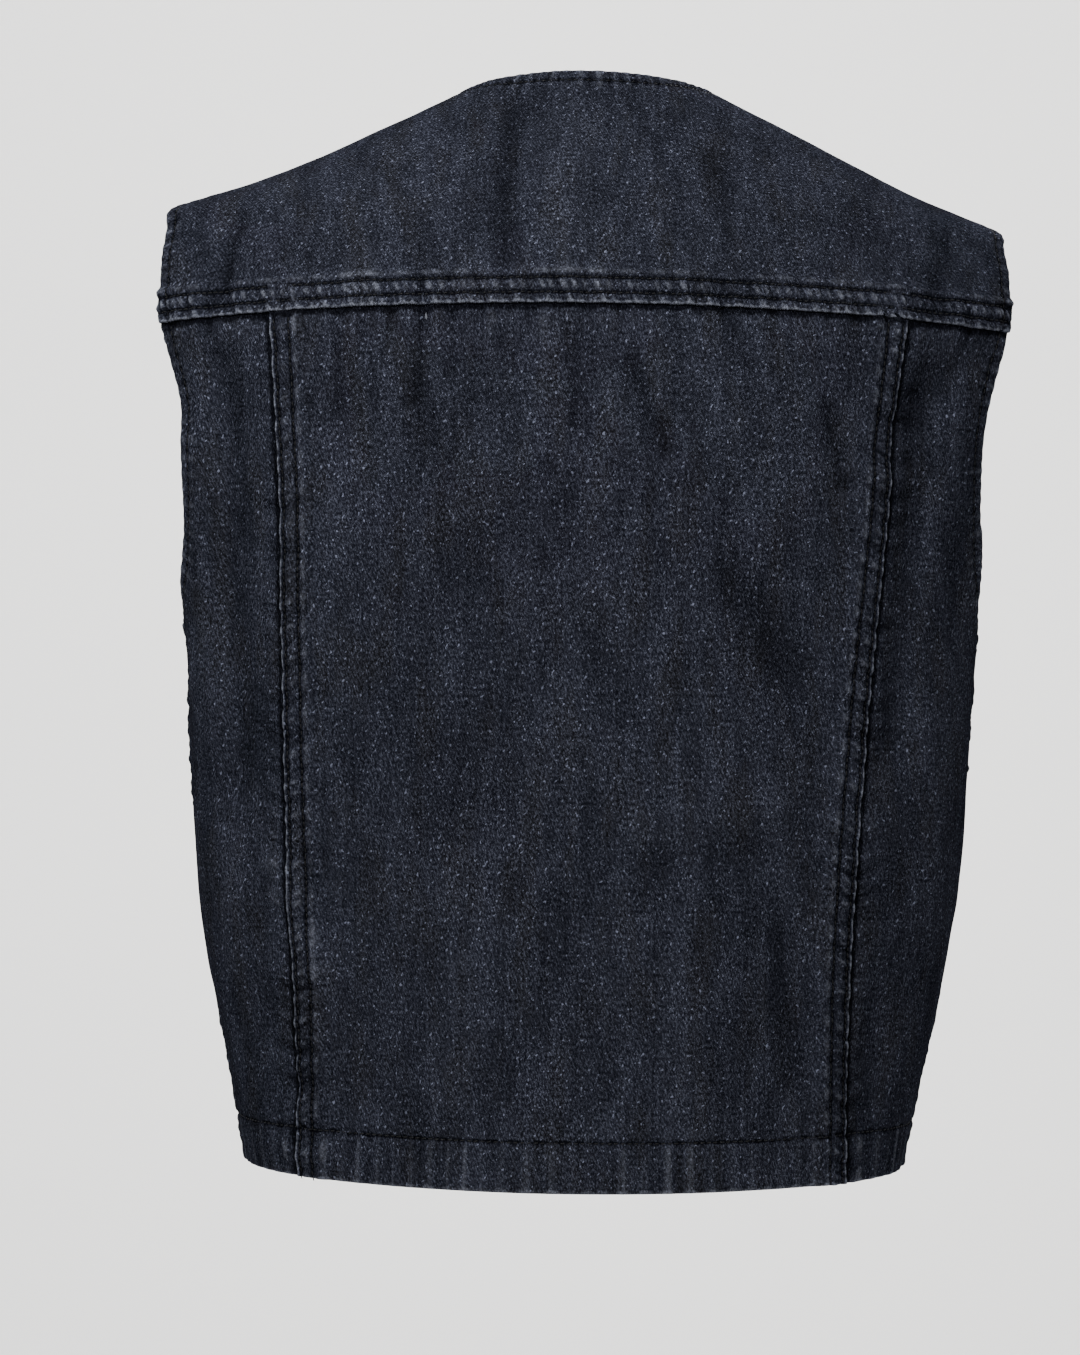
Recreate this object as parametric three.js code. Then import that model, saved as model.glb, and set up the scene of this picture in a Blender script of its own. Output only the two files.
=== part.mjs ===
// A sleeveless, collarless denim vest in the hollow shape that it takes when worn.
// The back yoke runs over both shoulders. Below it are a centre back and two side backs,
// and two plain fronts close with shank buttons, the wearer's right front over the left.
import * as THREE from "three";

// Sizes in millimetres. The front faces -Y, the back +Y, and the wearer's left is +X.
// The origin is the middle of the neck opening, level with the top of the shoulder line.
const CLOTH = 1.5;
const TURNED_CLOTH = 2.8;
const HEM_CLOTH = 3;
const SEAM_GAP = 0.3;
const LAP_LIFT = 1;
const EDGE_BAND = 7;
const LAP_BAND = 13;
const HEM_BAND = 24;

// Rings round the garment, from the neck down. Where the armholes cut them away, at 70 to 275
// below the origin, a ring's half width is that of the whole ring, past the cut.
const RINGS = [
  { z: 6, half: 39, back: 56, front: 44, power: 2 },
  { z: -8, half: 63, back: 66, front: 54, power: 1.95 },
  { z: -24, half: 96, back: 76, front: 65, power: 1.8 },
  { z: -40, half: 129, back: 86, front: 75, power: 1.7 },
  { z: -56, half: 166, back: 95, front: 83, power: 1.7 },
  { z: -64, half: 187, back: 98.5, front: 86.5, power: 1.72 },
  { z: -73, half: 210.5, back: 102, front: 90, power: 1.77 },
  { z: -82, half: 217, back: 105, front: 94, power: 1.85 },
  { z: -100, half: 224.5, back: 110, front: 101, power: 2 },
  { z: -131, half: 227.5, back: 116, front: 110, power: 2.13 },
  { z: -171, half: 216, back: 121, front: 119, power: 2.22 },
  { z: -215, half: 208.5, back: 122, front: 124, power: 2.25 },
  { z: -250, half: 201.5, back: 120.5, front: 123, power: 2.25 },
  { z: -280, half: 197.5, back: 118, front: 119, power: 2.25 },
  { z: -330, half: 196.5, back: 113.5, front: 113, power: 2.25 },
  { z: -390, half: 192, back: 108.5, front: 108, power: 2.25 },
  { z: -430, half: 186.5, back: 106, front: 106, power: 2.22 },
  { z: -485, half: 174.2, back: 105.5, front: 106, power: 2.2 },
  { z: -550, half: 161.3, back: 108, front: 109, power: 2.2 },
];
const RING_STEPS = 240;

// The left shoulder sits higher than the right, more so towards its tip.
const SHOULDER_TILT = { rise: 3.2, inside: 110, outside: 200, low: -118, high: -80 };

// The neck edge is two half ellipses seen from the back and the front.
const NECK_SIDE_Z = -8;
const NECK_BACK_RISE = 4;
const NECK_FRONT_DROP = 70;

// The armhole is an egg shape seen from the side, fuller at the front.
const ARMHOLE = { middle: -172.5, half: 102.5, back: 57, front: 60 };

// The yoke seam sags towards the armholes, and the side and shoulder seams lie forward.
const YOKE_SEAM = { middle: -121.5, sag: 7.5, reach: 212 };
const SHOULDER_SEAM_Y = -22;
const SIDE_SEAM_Y = -15;
const HEM = { sides: -542, dip: 3.5 };

// Distance of the two curved back seams from the middle of the back.
const BACK_SEAMS = [
  { z: -110, left: 153, right: 156 },
  { z: -170, left: 148.5, right: 150 },
  { z: -220, left: 145.5, right: 146 },
  { z: -270, left: 144.4, right: 141.6 },
  { z: -330, left: 142.7, right: 137 },
  { z: -400, left: 140, right: 132.7 },
  { z: -460, left: 137, right: 130.8 },
  { z: -550, left: 134.5, right: 130 },
];

// The fronts lap over the middle, with the left one pressed in under the right.
const FRONT_LAP = 14;
const FRONT_BAND = 28;
const UNDERLAP = { inward: 3.5, from: 18, to: 48 };

// Shank buttons down the middle of the front.
const BUTTONS = { count: 6, first: -92, pitch: 81.6 };
const BUTTON_PROFILE = [
  { r: 0, h: 0.3 },
  { r: 4, h: 0.3 },
  { r: 4, h: 1.4 },
  { r: 7.8, h: 1.5 },
  { r: 8.5, h: 2.2 },
  { r: 8.4, h: 3 },
  { r: 7.4, h: 3.7 },
  { r: 6.4, h: 3.4 },
  { r: 3.5, h: 3.8 },
  { r: 0, h: 3.9 },
];
const BUTTON_SIDES = 20;

// The largest folds. Each runs from one place to another, given as the distance round from
// the middle of the back, to the wearer's left, and the height. Troughs have negative heights.
const FOLDS = [
  { round0: 182, z0: -150, round1: 176, z1: -350, width: 13, height: -4.5 },
  { round0: 206, z0: -190, round1: 200, z1: -330, width: 15, height: 2.5 },
  { round0: 190, z0: -385, round1: 172, z1: -440, width: 14, height: 3 },
  { round0: 166, z0: -425, round1: 150, z1: -500, width: 12, height: -3 },
  { round0: 66, z0: -200, round1: 52, z1: -360, width: 42, height: -4 },
  { round0: 108, z0: -395, round1: 96, z1: -500, width: 24, height: -3 },
  { round0: 0, z0: -425, round1: -4, z1: -505, width: 22, height: -3 },
  { round0: -30, z0: -372, round1: -92, z1: -362, width: 14, height: 2.5 },
  { round0: -172, z0: -150, round1: -160, z1: -330, width: 12, height: -4 },
  { round0: -200, z0: -140, round1: -150, z1: -185, width: 13, height: -3 },
  { round0: -196, z0: -300, round1: -184, z1: -420, width: 16, height: 3 },
  { round0: -160, z0: -440, round1: -150, z1: -505, width: 13, height: -3 },
  { round0: 300, z0: -290, round1: 330, z1: -410, width: 18, height: -4 },
  { round0: 390, z0: -160, round1: 360, z1: -250, width: 20, height: -4 },
  { round0: 420, z0: -330, round1: 410, z1: -470, width: 26, height: -3 },
  { round0: -300, z0: -280, round1: -336, z1: -400, width: 18, height: -4 },
  { round0: -384, z0: -170, round1: -362, z1: -260, width: 20, height: -4 },
  { round0: -424, z0: -340, round1: -404, z1: -480, width: 26, height: -3 },
  { round0: 244, z0: -310, round1: 252, z1: -450, width: 17, height: -3.5 },
  { round0: -246, z0: -320, round1: -252, z1: -450, width: 17, height: -3.5 },
];

// Rows and columns of the grids, finer bands lying along the turned and lapped edges.
const SIDE_COLUMNS = 6;
const CENTRE_COLUMNS = 18;
const ARMHOLE_STATIONS = 8;
const NECK_COLUMNS = 9;
const ARM_ROWS = 13;
const BODY_ROWS = 16;
const YOKE_ROWS = [0, 0.06, 0.18, 0.32, 0.47, 0.62, 0.76, 0.89, 1];
const YOKE_CORNER_ANGLE = 1.15;

const DENIM = { color: 0x24262d, roughness: 0.92, metalness: 0 };
const BRASS = { color: 0x6f6455, roughness: 0.42, metalness: 0.9 };

// A smooth curve through one column of a table whose rows run downwards.
function lookUp(rows, column, z) {
  const at = Math.min(Math.max(z, rows[rows.length - 1].z), rows[0].z);
  let i = 0;
  while (i < rows.length - 2 && rows[i + 1].z > at) {
    i += 1;
  }
  const slope = (k) => {
    const before = rows[Math.max(k - 1, 0)];
    const after = rows[Math.min(k + 1, rows.length - 1)];
    return (after[column] - before[column]) / (after.z - before.z);
  };
  const span = rows[i + 1].z - rows[i].z;
  const t = (at - rows[i].z) / span;
  const start = (1 + 2 * t) * (1 - t) ** 2 * rows[i][column];
  const end = t * t * (3 - 2 * t) * rows[i + 1][column];
  return start + end + span * t * (1 - t) * ((1 - t) * slope(i) - t * slope(i + 1));
}

// Half a ring, from the middle of the back round the left side to the middle of the front.
const ringCache = new Map();
function halfRing(z) {
  const key = z.toFixed(4);
  if (ringCache.has(key)) {
    return ringCache.get(key);
  }
  const width = lookUp(RINGS, "half", z);
  const power = 2 / lookUp(RINGS, "power", z);
  const depths = { back: lookUp(RINGS, "back", z), front: lookUp(RINGS, "front", z) };
  const points = [];
  for (let i = 0; i <= RING_STEPS; i += 1) {
    const turn = (Math.PI * i) / RING_STEPS;
    const across = Math.abs(Math.sin(turn)) ** power;
    const along = Math.abs(Math.cos(turn)) ** power;
    const y = 2 * i < RING_STEPS ? depths.back * along : -depths.front * along;
    const x = width * across;
    const before = points[i - 1];
    const reach = before ? before.reach + Math.hypot(x - before.x, y - before.y) : 0;
    points.push({ x, y, reach });
  }
  const ring = { points, length: points[RING_STEPS].reach };
  ringCache.set(key, ring);
  return ring;
}

function between(a, b, t) {
  return a + (b - a) * t;
}

function shoulderRise(x, z) {
  const { smoothstep } = THREE.MathUtils;
  const outwards = smoothstep(Math.abs(x), SHOULDER_TILT.inside, SHOULDER_TILT.outside);
  const upwards = smoothstep(z, SHOULDER_TILT.low, SHOULDER_TILT.high);
  return Math.sign(x) * SHOULDER_TILT.rise * outwards * upwards;
}

// A place on the garment is q, the share of the half ring from the middle of the back, with
// its sign for the side, and a height z. Past 1 it goes on round the other side.
function ringPoint(q, z) {
  const turned = Math.abs(q) > 1 ? q - 2 * Math.sign(q) : q;
  const { points, length } = halfRing(z);
  const reach = Math.abs(turned) * length;
  let low = 0;
  let high = RING_STEPS;
  while (high - low > 1) {
    const middle = (low + high) >> 1;
    if (points[middle].reach > reach) {
      high = middle;
    } else {
      low = middle;
    }
  }
  const t = (reach - points[low].reach) / (points[high].reach - points[low].reach);
  const x = Math.sign(turned) * between(points[low].x, points[high].x, t);
  const y = between(points[low].y, points[high].y, t);
  return new THREE.Vector3(x, y, z + shoulderRise(x, z));
}

// The share of the half ring at which a measure first passes zero, from the back.
function crossing(z, measure, backwards) {
  const { points, length } = halfRing(z);
  const order = backwards ? [...points].reverse() : points;
  for (let i = 1; i < order.length; i += 1) {
    const a = measure(order[i - 1]);
    const b = measure(order[i]);
    if (a <= 0 && b > 0) {
      return between(order[i - 1].reach, order[i].reach, a / (a - b)) / length;
    }
  }
  return 0.5;
}

const shareAtX = (z, x, front) => crossing(z, (p) => p.x - x, front);
const shareAtY = (z, y) => crossing(z, (p) => y - p.y, false);

function foldHeight(q, z) {
  const round = q * halfRing(z).length;
  let height = 0;
  for (const fold of FOLDS) {
    const along = new THREE.Vector2(fold.round1 - fold.round0, fold.z1 - fold.z0);
    const offset = new THREE.Vector2(round - fold.round0, z - fold.z0);
    const t = THREE.MathUtils.clamp(offset.dot(along) / along.lengthSq(), 0, 1);
    const gap = offset.sub(along.multiplyScalar(t)).length();
    height += fold.height * Math.exp(-((gap / fold.width) ** 2));
  }
  return height;
}

function outwardAt(q, z) {
  const step = 2 / halfRing(z).length;
  const across = ringPoint(q + step, z).sub(ringPoint(q - step, z));
  const down = ringPoint(q, z - 1).sub(ringPoint(q, z + 1));
  return across.cross(down).normalize();
}

function clothPoint({ q, z }, offset) {
  return ringPoint(q, z).addScaledVector(outwardAt(q, z), foldHeight(q, z) + offset);
}

function hemZ(q) {
  return HEM.sides - HEM.dip * Math.max(0, Math.cos(Math.PI * q)) ** 2;
}

function yokeSeamZ(x) {
  return YOKE_SEAM.middle - YOKE_SEAM.sag * (x / YOKE_SEAM.reach) ** 2;
}

// The neck edge by its angle from the middle of the back, on the left side.
function neckPlace(angle) {
  const x = lookUp(RINGS, "half", NECK_SIDE_Z) * Math.sin(angle);
  const front = angle > Math.PI / 2;
  const drop = front ? NECK_FRONT_DROP : NECK_BACK_RISE;
  const z = NECK_SIDE_Z + drop * Math.cos(angle);
  return { q: shareAtX(z, x, front), z };
}

// The armhole edge by its angle from the shoulder tip, backwards round to the front.
function armholePlace(angle) {
  const depth = Math.sin(angle) > 0 ? ARMHOLE.back : ARMHOLE.front;
  const z = ARMHOLE.middle + ARMHOLE.half * Math.cos(angle);
  return { q: shareAtY(z, depth * Math.sin(angle)), z };
}

function solve(measure, low, high) {
  let [a, b] = [low, high];
  for (let i = 0; i < 40; i += 1) {
    const middle = (a + b) / 2;
    if (measure(middle) > 0 === measure(a) > 0) {
      a = middle;
    } else {
      b = middle;
    }
  }
  return (a + b) / 2;
}

// Where the edges meet.
const yOf = ({ q, z }) => ringPoint(q, z).y;
const xOf = ({ q, z }) => ringPoint(q, z).x;
const NECK_SEAM_ANGLE = solve((a) => yOf(neckPlace(a)) - SHOULDER_SEAM_Y, Math.PI / 2, 2.8);
const TIP_SEAM_ANGLE = Math.asin(SHOULDER_SEAM_Y / ARMHOLE.front);
const UNDERARM_ANGLE = Math.PI - Math.asin(SIDE_SEAM_Y / ARMHOLE.front);
const YOKE_CORNER = solve((a) => {
  const place = armholePlace(a);
  return place.z - yokeSeamZ(xOf(place));
}, 0.1, Math.PI / 2);
const NECK_SEAM_Z = neckPlace(NECK_SEAM_ANGLE).z;
const TIP_SEAM_Z = armholePlace(TIP_SEAM_ANGLE).z;
const UNDERARM_Z = armholePlace(UNDERARM_ANGLE).z;
const YOKE_CORNER_X = xOf(armholePlace(YOKE_CORNER));

function range(count) {
  return Array.from({ length: count + 1 }, (_, i) => i / count);
}

// Shares of a length with a band of its own at the end, and at the start if it has one.
function bandedRange(count, length, firstBand, lastBand) {
  const start = firstBand / length;
  const end = 1 - lastBand / length;
  const first = firstBand ? [0] : [];
  const inner = range(count - 1 - first.length).map((t) => between(start, end, t));
  return [...first, ...inner, 1];
}

const shifted = (place, millimetres) => ({
  q: place.q + millimetres / halfRing(place.z).length,
  z: place.z,
});
const mirrored = (place, side) => ({ q: place.q * side, z: place.z });
const seamAtY = (z, y, shift) => shifted({ q: shareAtY(z, y), z }, shift);

// The surface between four edges, each a list of places: top and bottom, left and right.
function fill(top, bottom, left, right) {
  const rows = left.length - 1;
  const columns = top.length - 1;
  return left.map((_, i) =>
    top.map((__, j) => {
      const v = i / rows;
      const u = j / columns;
      const place = {};
      for (const key of ["q", "z"]) {
        const sides = between(left[i][key], right[i][key], u);
        const ends = between(top[j][key], bottom[j][key], v);
        const corners = between(
          between(top[0][key], top[columns][key], u),
          between(bottom[0][key], bottom[columns][key], u),
          v,
        );
        place[key] = sides + ends - corners;
      }
      return place;
    }),
  );
}

function signedVolume(points, faces) {
  return faces.reduce((sum, [a, b, c]) => {
    const normal = new THREE.Vector3().crossVectors(points[b], points[c]);
    return sum + points[a].dot(normal) / 6;
  }, 0);
}

// A closed wall of cloth from a grid of places, with the offset of its outer and inner face.
function clothPiece(name, places, outer, inner) {
  const rows = places.length;
  const columns = places[0].length;
  const points = [];
  for (const offset of [outer, inner]) {
    places.forEach((row, i) => row.forEach((place, j) => {
      points.push(clothPoint(place, offset(i, j, place)));
    }));
  }
  const at = (side, i, j) => side * rows * columns + i * columns + j;
  const faces = [];
  const addQuad = (a, b, c, d) => {
    if (points[a].distanceTo(points[c]) < points[b].distanceTo(points[d])) {
      faces.push([a, b, c], [a, c, d]);
    } else {
      faces.push([a, b, d], [b, c, d]);
    }
  };
  for (let i = 0; i < rows - 1; i += 1) {
    for (let j = 0; j < columns - 1; j += 1) {
      addQuad(at(0, i, j), at(0, i + 1, j), at(0, i + 1, j + 1), at(0, i, j + 1));
      addQuad(at(1, i, j), at(1, i, j + 1), at(1, i + 1, j + 1), at(1, i + 1, j));
    }
    const last = columns - 1;
    addQuad(at(0, i, 0), at(1, i, 0), at(1, i + 1, 0), at(0, i + 1, 0));
    addQuad(at(0, i + 1, last), at(1, i + 1, last), at(1, i, last), at(0, i, last));
  }
  for (let j = 0; j < columns - 1; j += 1) {
    const last = rows - 1;
    addQuad(at(0, 0, j + 1), at(1, 0, j + 1), at(1, 0, j), at(0, 0, j));
    addQuad(at(0, last, j), at(1, last, j), at(1, last, j + 1), at(0, last, j + 1));
  }
  const outward = signedVolume(points, faces) > 0;
  const geometry = new THREE.BufferGeometry().setFromPoints(points);
  geometry.setIndex(faces.flatMap(([a, b, c]) => (outward ? [a, b, c] : [a, c, b])));
  const mesh = new THREE.Mesh(geometry, new THREE.MeshStandardMaterial(DENIM));
  mesh.name = name;
  return mesh;
}

function yoke() {
  const gap = SEAM_GAP / 2;
  const overShoulder = range(ARMHOLE_STATIONS)
    .map((t) => armholePlace(between(TIP_SEAM_ANGLE, YOKE_CORNER, t)));
  overShoulder[0] = seamAtY(TIP_SEAM_Z, SHOULDER_SEAM_Y, -gap);
  const alongSeam = (side) => seamStations(side).map((x) => seamPlace(x, gap));
  const neckAngles = range(ARMHOLE_STATIONS)
    .map((t) => between(NECK_SEAM_ANGLE, YOKE_CORNER_ANGLE, t));
  const neckShoulder = neckAngles.map((angle) => neckPlace(angle));
  neckShoulder[0] = seamAtY(NECK_SEAM_Z, SHOULDER_SEAM_Y, -gap);
  const neckBack = (side) => seamStations(side)
    .map((x) => neckPlace((YOKE_CORNER_ANGLE * x) / YOKE_CORNER_X));
  const halfOf = (shoulder, back, side) => [
    ...shoulder.slice(0, -1),
    ...back(side),
  ].map((place) => mirrored(place, side));
  const whole = (shoulder, back) => [
    ...halfOf(shoulder, back, 1),
    ...halfOf(shoulder, back, -1).reverse().slice(1),
  ];
  overShoulder[ARMHOLE_STATIONS].z += gap;
  const outerEdge = whole(overShoulder, alongSeam);
  const neckEdge = whole(neckShoulder, neckBack);
  const shoulderSeam = YOKE_ROWS.map((t) =>
    seamAtY(between(NECK_SEAM_Z, TIP_SEAM_Z, t), SHOULDER_SEAM_Y, -gap));
  const places = fill(
    neckEdge,
    outerEdge,
    shoulderSeam,
    shoulderSeam.map((place) => mirrored(place, -1)),
  );
  const lastRow = YOKE_ROWS.length - 1;
  const overSeam = (i, j) =>
    i >= lastRow - 1 && j > ARMHOLE_STATIONS && j < outerEdge.length - 1 - ARMHOLE_STATIONS;
  const turned = (i) => i <= 1 || i >= lastRow - 1;
  return clothPiece(
    "yoke",
    places,
    (i, j) => (overSeam(i, j) ? LAP_LIFT : 0),
    (i, j) => (turned(i) && !overSeam(i, j) ? -TURNED_CLOTH : -CLOTH),
  );
}

// The columns that the yoke seam shares with the pieces below it, from the armhole inwards.
function seamStations(side) {
  const seam = lookUp(BACK_SEAMS, side > 0 ? "left" : "right", YOKE_SEAM.middle);
  const outside = range(SIDE_COLUMNS).map((t) => between(YOKE_CORNER_X, seam, t));
  const inside = centreShares().filter((t) => t >= 0.5).reverse()
    .map((t) => between(0, seam, 2 * t - 1));
  return [...outside.slice(0, -1), ...inside];
}

function seamPlace(x, rise) {
  const z = yokeSeamZ(x) + rise;
  return { q: shareAtX(z, x, false), z };
}

function centreShares() {
  const width = 2 * BACK_SEAMS[0].left;
  return bandedRange(CENTRE_COLUMNS, width, LAP_BAND, LAP_BAND);
}

// Heights from the top of a panel to the hem, with a row at the top of the turned hem.
function panelRows() {
  const length = -HEM.sides + YOKE_SEAM.middle;
  return bandedRange(ARM_ROWS + BODY_ROWS, length, EDGE_BAND, HEM_BAND);
}

function backSeamLine(side, shift) {
  const column = side > 0 ? "left" : "right";
  const top = yokeSeamZ(lookUp(BACK_SEAMS, column, YOKE_SEAM.middle)) - SEAM_GAP / 2;
  return panelRows().map((t) => {
    const z = between(top, hemZ(0.3), t);
    const place = { q: shareAtX(z, lookUp(BACK_SEAMS, column, z), false), z };
    return mirrored(shifted(place, shift), side);
  });
}

function hemBand(rows) {
  return (i) => i >= rows - 2;
}

function centreBack() {
  const gap = SEAM_GAP / 2;
  const right = backSeamLine(-1, -gap);
  const left = backSeamLine(1, -gap);
  const seamOn = (side) => seamStations(side).slice(SIDE_COLUMNS)
    .map((x) => mirrored(seamPlace(x, -gap), side));
  const top = [...seamOn(-1), ...seamOn(1).reverse().slice(1)];
  top[0] = right[0];
  top[top.length - 1] = left[0];
  const bottom = centreShares().map((t) => {
    const q = between(right[right.length - 1].q, left[left.length - 1].q, t);
    return { q, z: hemZ(q) };
  });
  right[right.length - 1] = bottom[0];
  left[left.length - 1] = bottom[bottom.length - 1];
  const places = fill(top, bottom, right, left);
  const turned = hemBand(places.length);
  const lapped = (j) => j <= 1 || j >= bottom.length - 2;
  return clothPiece(
    "back_center",
    places,
    (i, j) => (lapped(j) ? LAP_LIFT : 0),
    (i) => (turned(i) ? -HEM_CLOTH : -CLOTH),
  );
}

// The outer edge of a side back or a front: down the armhole, then down the side seam.
function armAndSideLine(firstAngle, firstPlace, shift) {
  const armRows = range(ARM_ROWS)
    .map((t) => armholePlace(between(firstAngle, UNDERARM_ANGLE, t)));
  armRows[0] = firstPlace;
  const start = UNDERARM_Z;
  const length = start - HEM.sides;
  const sideRows = bandedRange(BODY_ROWS, length, 0, HEM_BAND)
    .map((t) => seamAtY(between(start, HEM.sides, t), SIDE_SEAM_Y, shift));
  return [...armRows.slice(0, -1), ...sideRows];
}

function sideBack(side) {
  const gap = SEAM_GAP / 2;
  const seam = backSeamLine(side, gap).map((place) => mirrored(place, side));
  const corner = armholePlace(YOKE_CORNER);
  const outer = armAndSideLine(YOKE_CORNER, { q: corner.q, z: corner.z - gap }, -gap);
  const stations = seamStations(side).slice(0, SIDE_COLUMNS + 1).reverse();
  const top = stations.map((x) => seamPlace(x, -gap));
  top[0] = seam[0];
  top[SIDE_COLUMNS] = outer[0];
  const bottom = range(SIDE_COLUMNS).map((t) => {
    const q = between(seam[seam.length - 1].q, outer[outer.length - 1].q, t);
    return { q, z: hemZ(q) };
  });
  seam[seam.length - 1] = bottom[0];
  outer[outer.length - 1] = bottom[SIDE_COLUMNS];
  const places = fill(top, bottom, seam, outer)
    .map((row) => row.map((place) => mirrored(place, side)));
  const turned = hemBand(places.length);
  return clothPiece(
    side > 0 ? "back_side_left" : "back_side_right",
    places,
    () => 0,
    (i) => (turned(i) ? -HEM_CLOTH : -CLOTH),
  );
}

// How far the left front is pressed in, where the right front lies over it.
function underlap(place) {
  const x = ringPoint(place.q, place.z).x;
  const t = THREE.MathUtils.smoothstep(x, UNDERLAP.from, UNDERLAP.to);
  return -UNDERLAP.inward * (1 - t);
}

function front(side) {
  const gap = SEAM_GAP / 2;
  const tip = seamAtY(TIP_SEAM_Z, SHOULDER_SEAM_Y, gap);
  const outer = armAndSideLine(2 * Math.PI + TIP_SEAM_ANGLE, tip, gap);
  const shoulder = [...YOKE_ROWS].reverse()
    .map((t) => seamAtY(between(NECK_SEAM_Z, TIP_SEAM_Z, t), SHOULDER_SEAM_Y, gap));
  const lapAngle = Math.asin(FRONT_LAP / lookUp(RINGS, "half", NECK_SIDE_Z));
  const past = (angle) => {
    const place = neckPlace(angle > Math.PI ? 2 * Math.PI - angle : angle);
    return { q: angle > Math.PI ? 2 - place.q : place.q, z: place.z };
  };
  const neck = [
    ...range(NECK_COLUMNS - 1).map((t) => between(NECK_SEAM_ANGLE, Math.PI - lapAngle, t)),
    Math.PI + lapAngle,
  ].map((angle) => past(angle));
  const top = [...shoulder, ...neck.slice(1)];
  const middleTop = neck[NECK_COLUMNS].z;
  const middle = panelRows().map((t) => {
    const z = between(middleTop, HEM.sides, t);
    return { q: 2 - shareAtX(z, FRONT_LAP, true), z };
  });
  const columns = top.length - 1;
  const bandStart = shareAtX(HEM.sides, FRONT_BAND - FRONT_LAP, true);
  const bottom = [
    ...range(columns - 1).map((t) => between(outer[outer.length - 1].q, bandStart, t)),
    middle[middle.length - 1].q,
  ].map((q) => ({ q, z: HEM.sides }));
  outer[outer.length - 1] = bottom[0];
  middle[middle.length - 1] = bottom[columns];
  const places = fill(top, bottom, outer, middle)
    .map((row) => row.map((place) => mirrored(place, side)));
  const turned = hemBand(places.length);
  const under = side > 0 ? (place) => underlap(place) : () => 0;
  const band = (j) => j >= columns - 1;
  return clothPiece(
    side > 0 ? "front_left" : "front_right",
    places,
    (i, j, place) => under(place),
    (i, j, place) => under(place) - (turned(i) || band(j) ? HEM_CLOTH : CLOTH),
  );
}

function button(index) {
  const profile = BUTTON_PROFILE.map(({ r, h }) => new THREE.Vector2(r, h));
  const geometry = new THREE.LatheGeometry(profile, BUTTON_SIDES);
  geometry.rotateX(Math.PI / 2);
  const mesh = new THREE.Mesh(geometry, new THREE.MeshStandardMaterial(BRASS));
  const place = { q: 1, z: BUTTONS.first - BUTTONS.pitch * index };
  mesh.position.copy(clothPoint(place, 0));
  const outward = outwardAt(place.q, place.z);
  mesh.quaternion.setFromUnitVectors(new THREE.Vector3(0, 0, 1), outward);
  mesh.name = `button_${index + 1}`;
  return mesh;
}

const group = new THREE.Group();
group.add(yoke(), centreBack());
for (const side of [1, -1]) {
  group.add(sideBack(side), front(side));
}
for (let index = 0; index < BUTTONS.count; index += 1) {
  group.add(button(index));
}

export default group;
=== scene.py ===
"""A sleeveless washed black denim vest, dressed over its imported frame."""
import math
from collections import namedtuple

import bmesh
import bpy
import numpy as np
from bpy.props import FloatProperty, FloatVectorProperty, IntProperty, PointerProperty
from mathutils import Matrix, Vector, noise


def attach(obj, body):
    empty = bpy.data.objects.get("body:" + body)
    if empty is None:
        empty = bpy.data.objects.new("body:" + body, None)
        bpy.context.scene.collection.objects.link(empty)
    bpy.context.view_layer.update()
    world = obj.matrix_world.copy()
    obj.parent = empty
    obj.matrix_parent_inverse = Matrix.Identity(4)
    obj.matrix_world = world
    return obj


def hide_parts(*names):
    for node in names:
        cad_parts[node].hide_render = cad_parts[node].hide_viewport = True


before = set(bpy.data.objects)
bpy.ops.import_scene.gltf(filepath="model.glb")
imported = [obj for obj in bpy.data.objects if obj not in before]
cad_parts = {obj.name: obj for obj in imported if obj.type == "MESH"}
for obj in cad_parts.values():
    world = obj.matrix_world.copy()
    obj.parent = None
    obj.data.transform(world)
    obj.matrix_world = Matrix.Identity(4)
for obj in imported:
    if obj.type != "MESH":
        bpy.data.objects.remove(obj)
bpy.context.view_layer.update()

bl_info = {
    "name": "Denim vest",
    "version": (1, 0, 0),
    "blender": (4, 5, 0),
    "location": "View3D > Sidebar > Vest",
    "description": "Dresses the frame of a denim vest with cloth, seams, stitches and buttons",
    "category": "Object",
}

# The garment's tables and places are in millimetres, and meshes are made in metres.
MM = 0.001
ROOT = "root"
SEED = 7

# The form's rings from the neck down: height, half width, depth behind and in front, and the
# power of the curve, which is 2 for an ellipse and more for a squarer ring.
Ring = namedtuple("Ring", "z half back front power")
RINGS = (
    Ring(6, 39, 56, 44, 2.0),
    Ring(-8, 63, 66, 54, 1.95),
    Ring(-24, 96, 76, 65, 1.8),
    Ring(-40, 129, 86, 75, 1.7),
    Ring(-56, 166, 95, 83, 1.7),
    Ring(-64, 187, 98.5, 86.5, 1.72),
    Ring(-73, 210.5, 102, 90, 1.77),
    Ring(-82, 217, 105, 94, 1.85),
    Ring(-100, 224.5, 110, 101, 2.0),
    Ring(-131, 227.5, 116, 110, 2.13),
    Ring(-171, 216, 121, 119, 2.22),
    Ring(-215, 208.5, 122, 124, 2.25),
    Ring(-250, 201.5, 120.5, 123, 2.25),
    Ring(-280, 197.5, 118, 119, 2.25),
    Ring(-330, 196.5, 113.5, 113, 2.25),
    Ring(-390, 192, 108.5, 108, 2.25),
    Ring(-430, 186.5, 106, 106, 2.22),
    Ring(-485, 174.2, 105.5, 106, 2.2),
    Ring(-550, 161.3, 108, 109, 2.2),
)

# The left shoulder sits higher than the right, more so towards its tip.
SHOULDER_RISE = 3.2
SHOULDER_FROM_X = (110.0, 200.0)
SHOULDER_FROM_Z = (-118.0, -80.0)

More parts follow.
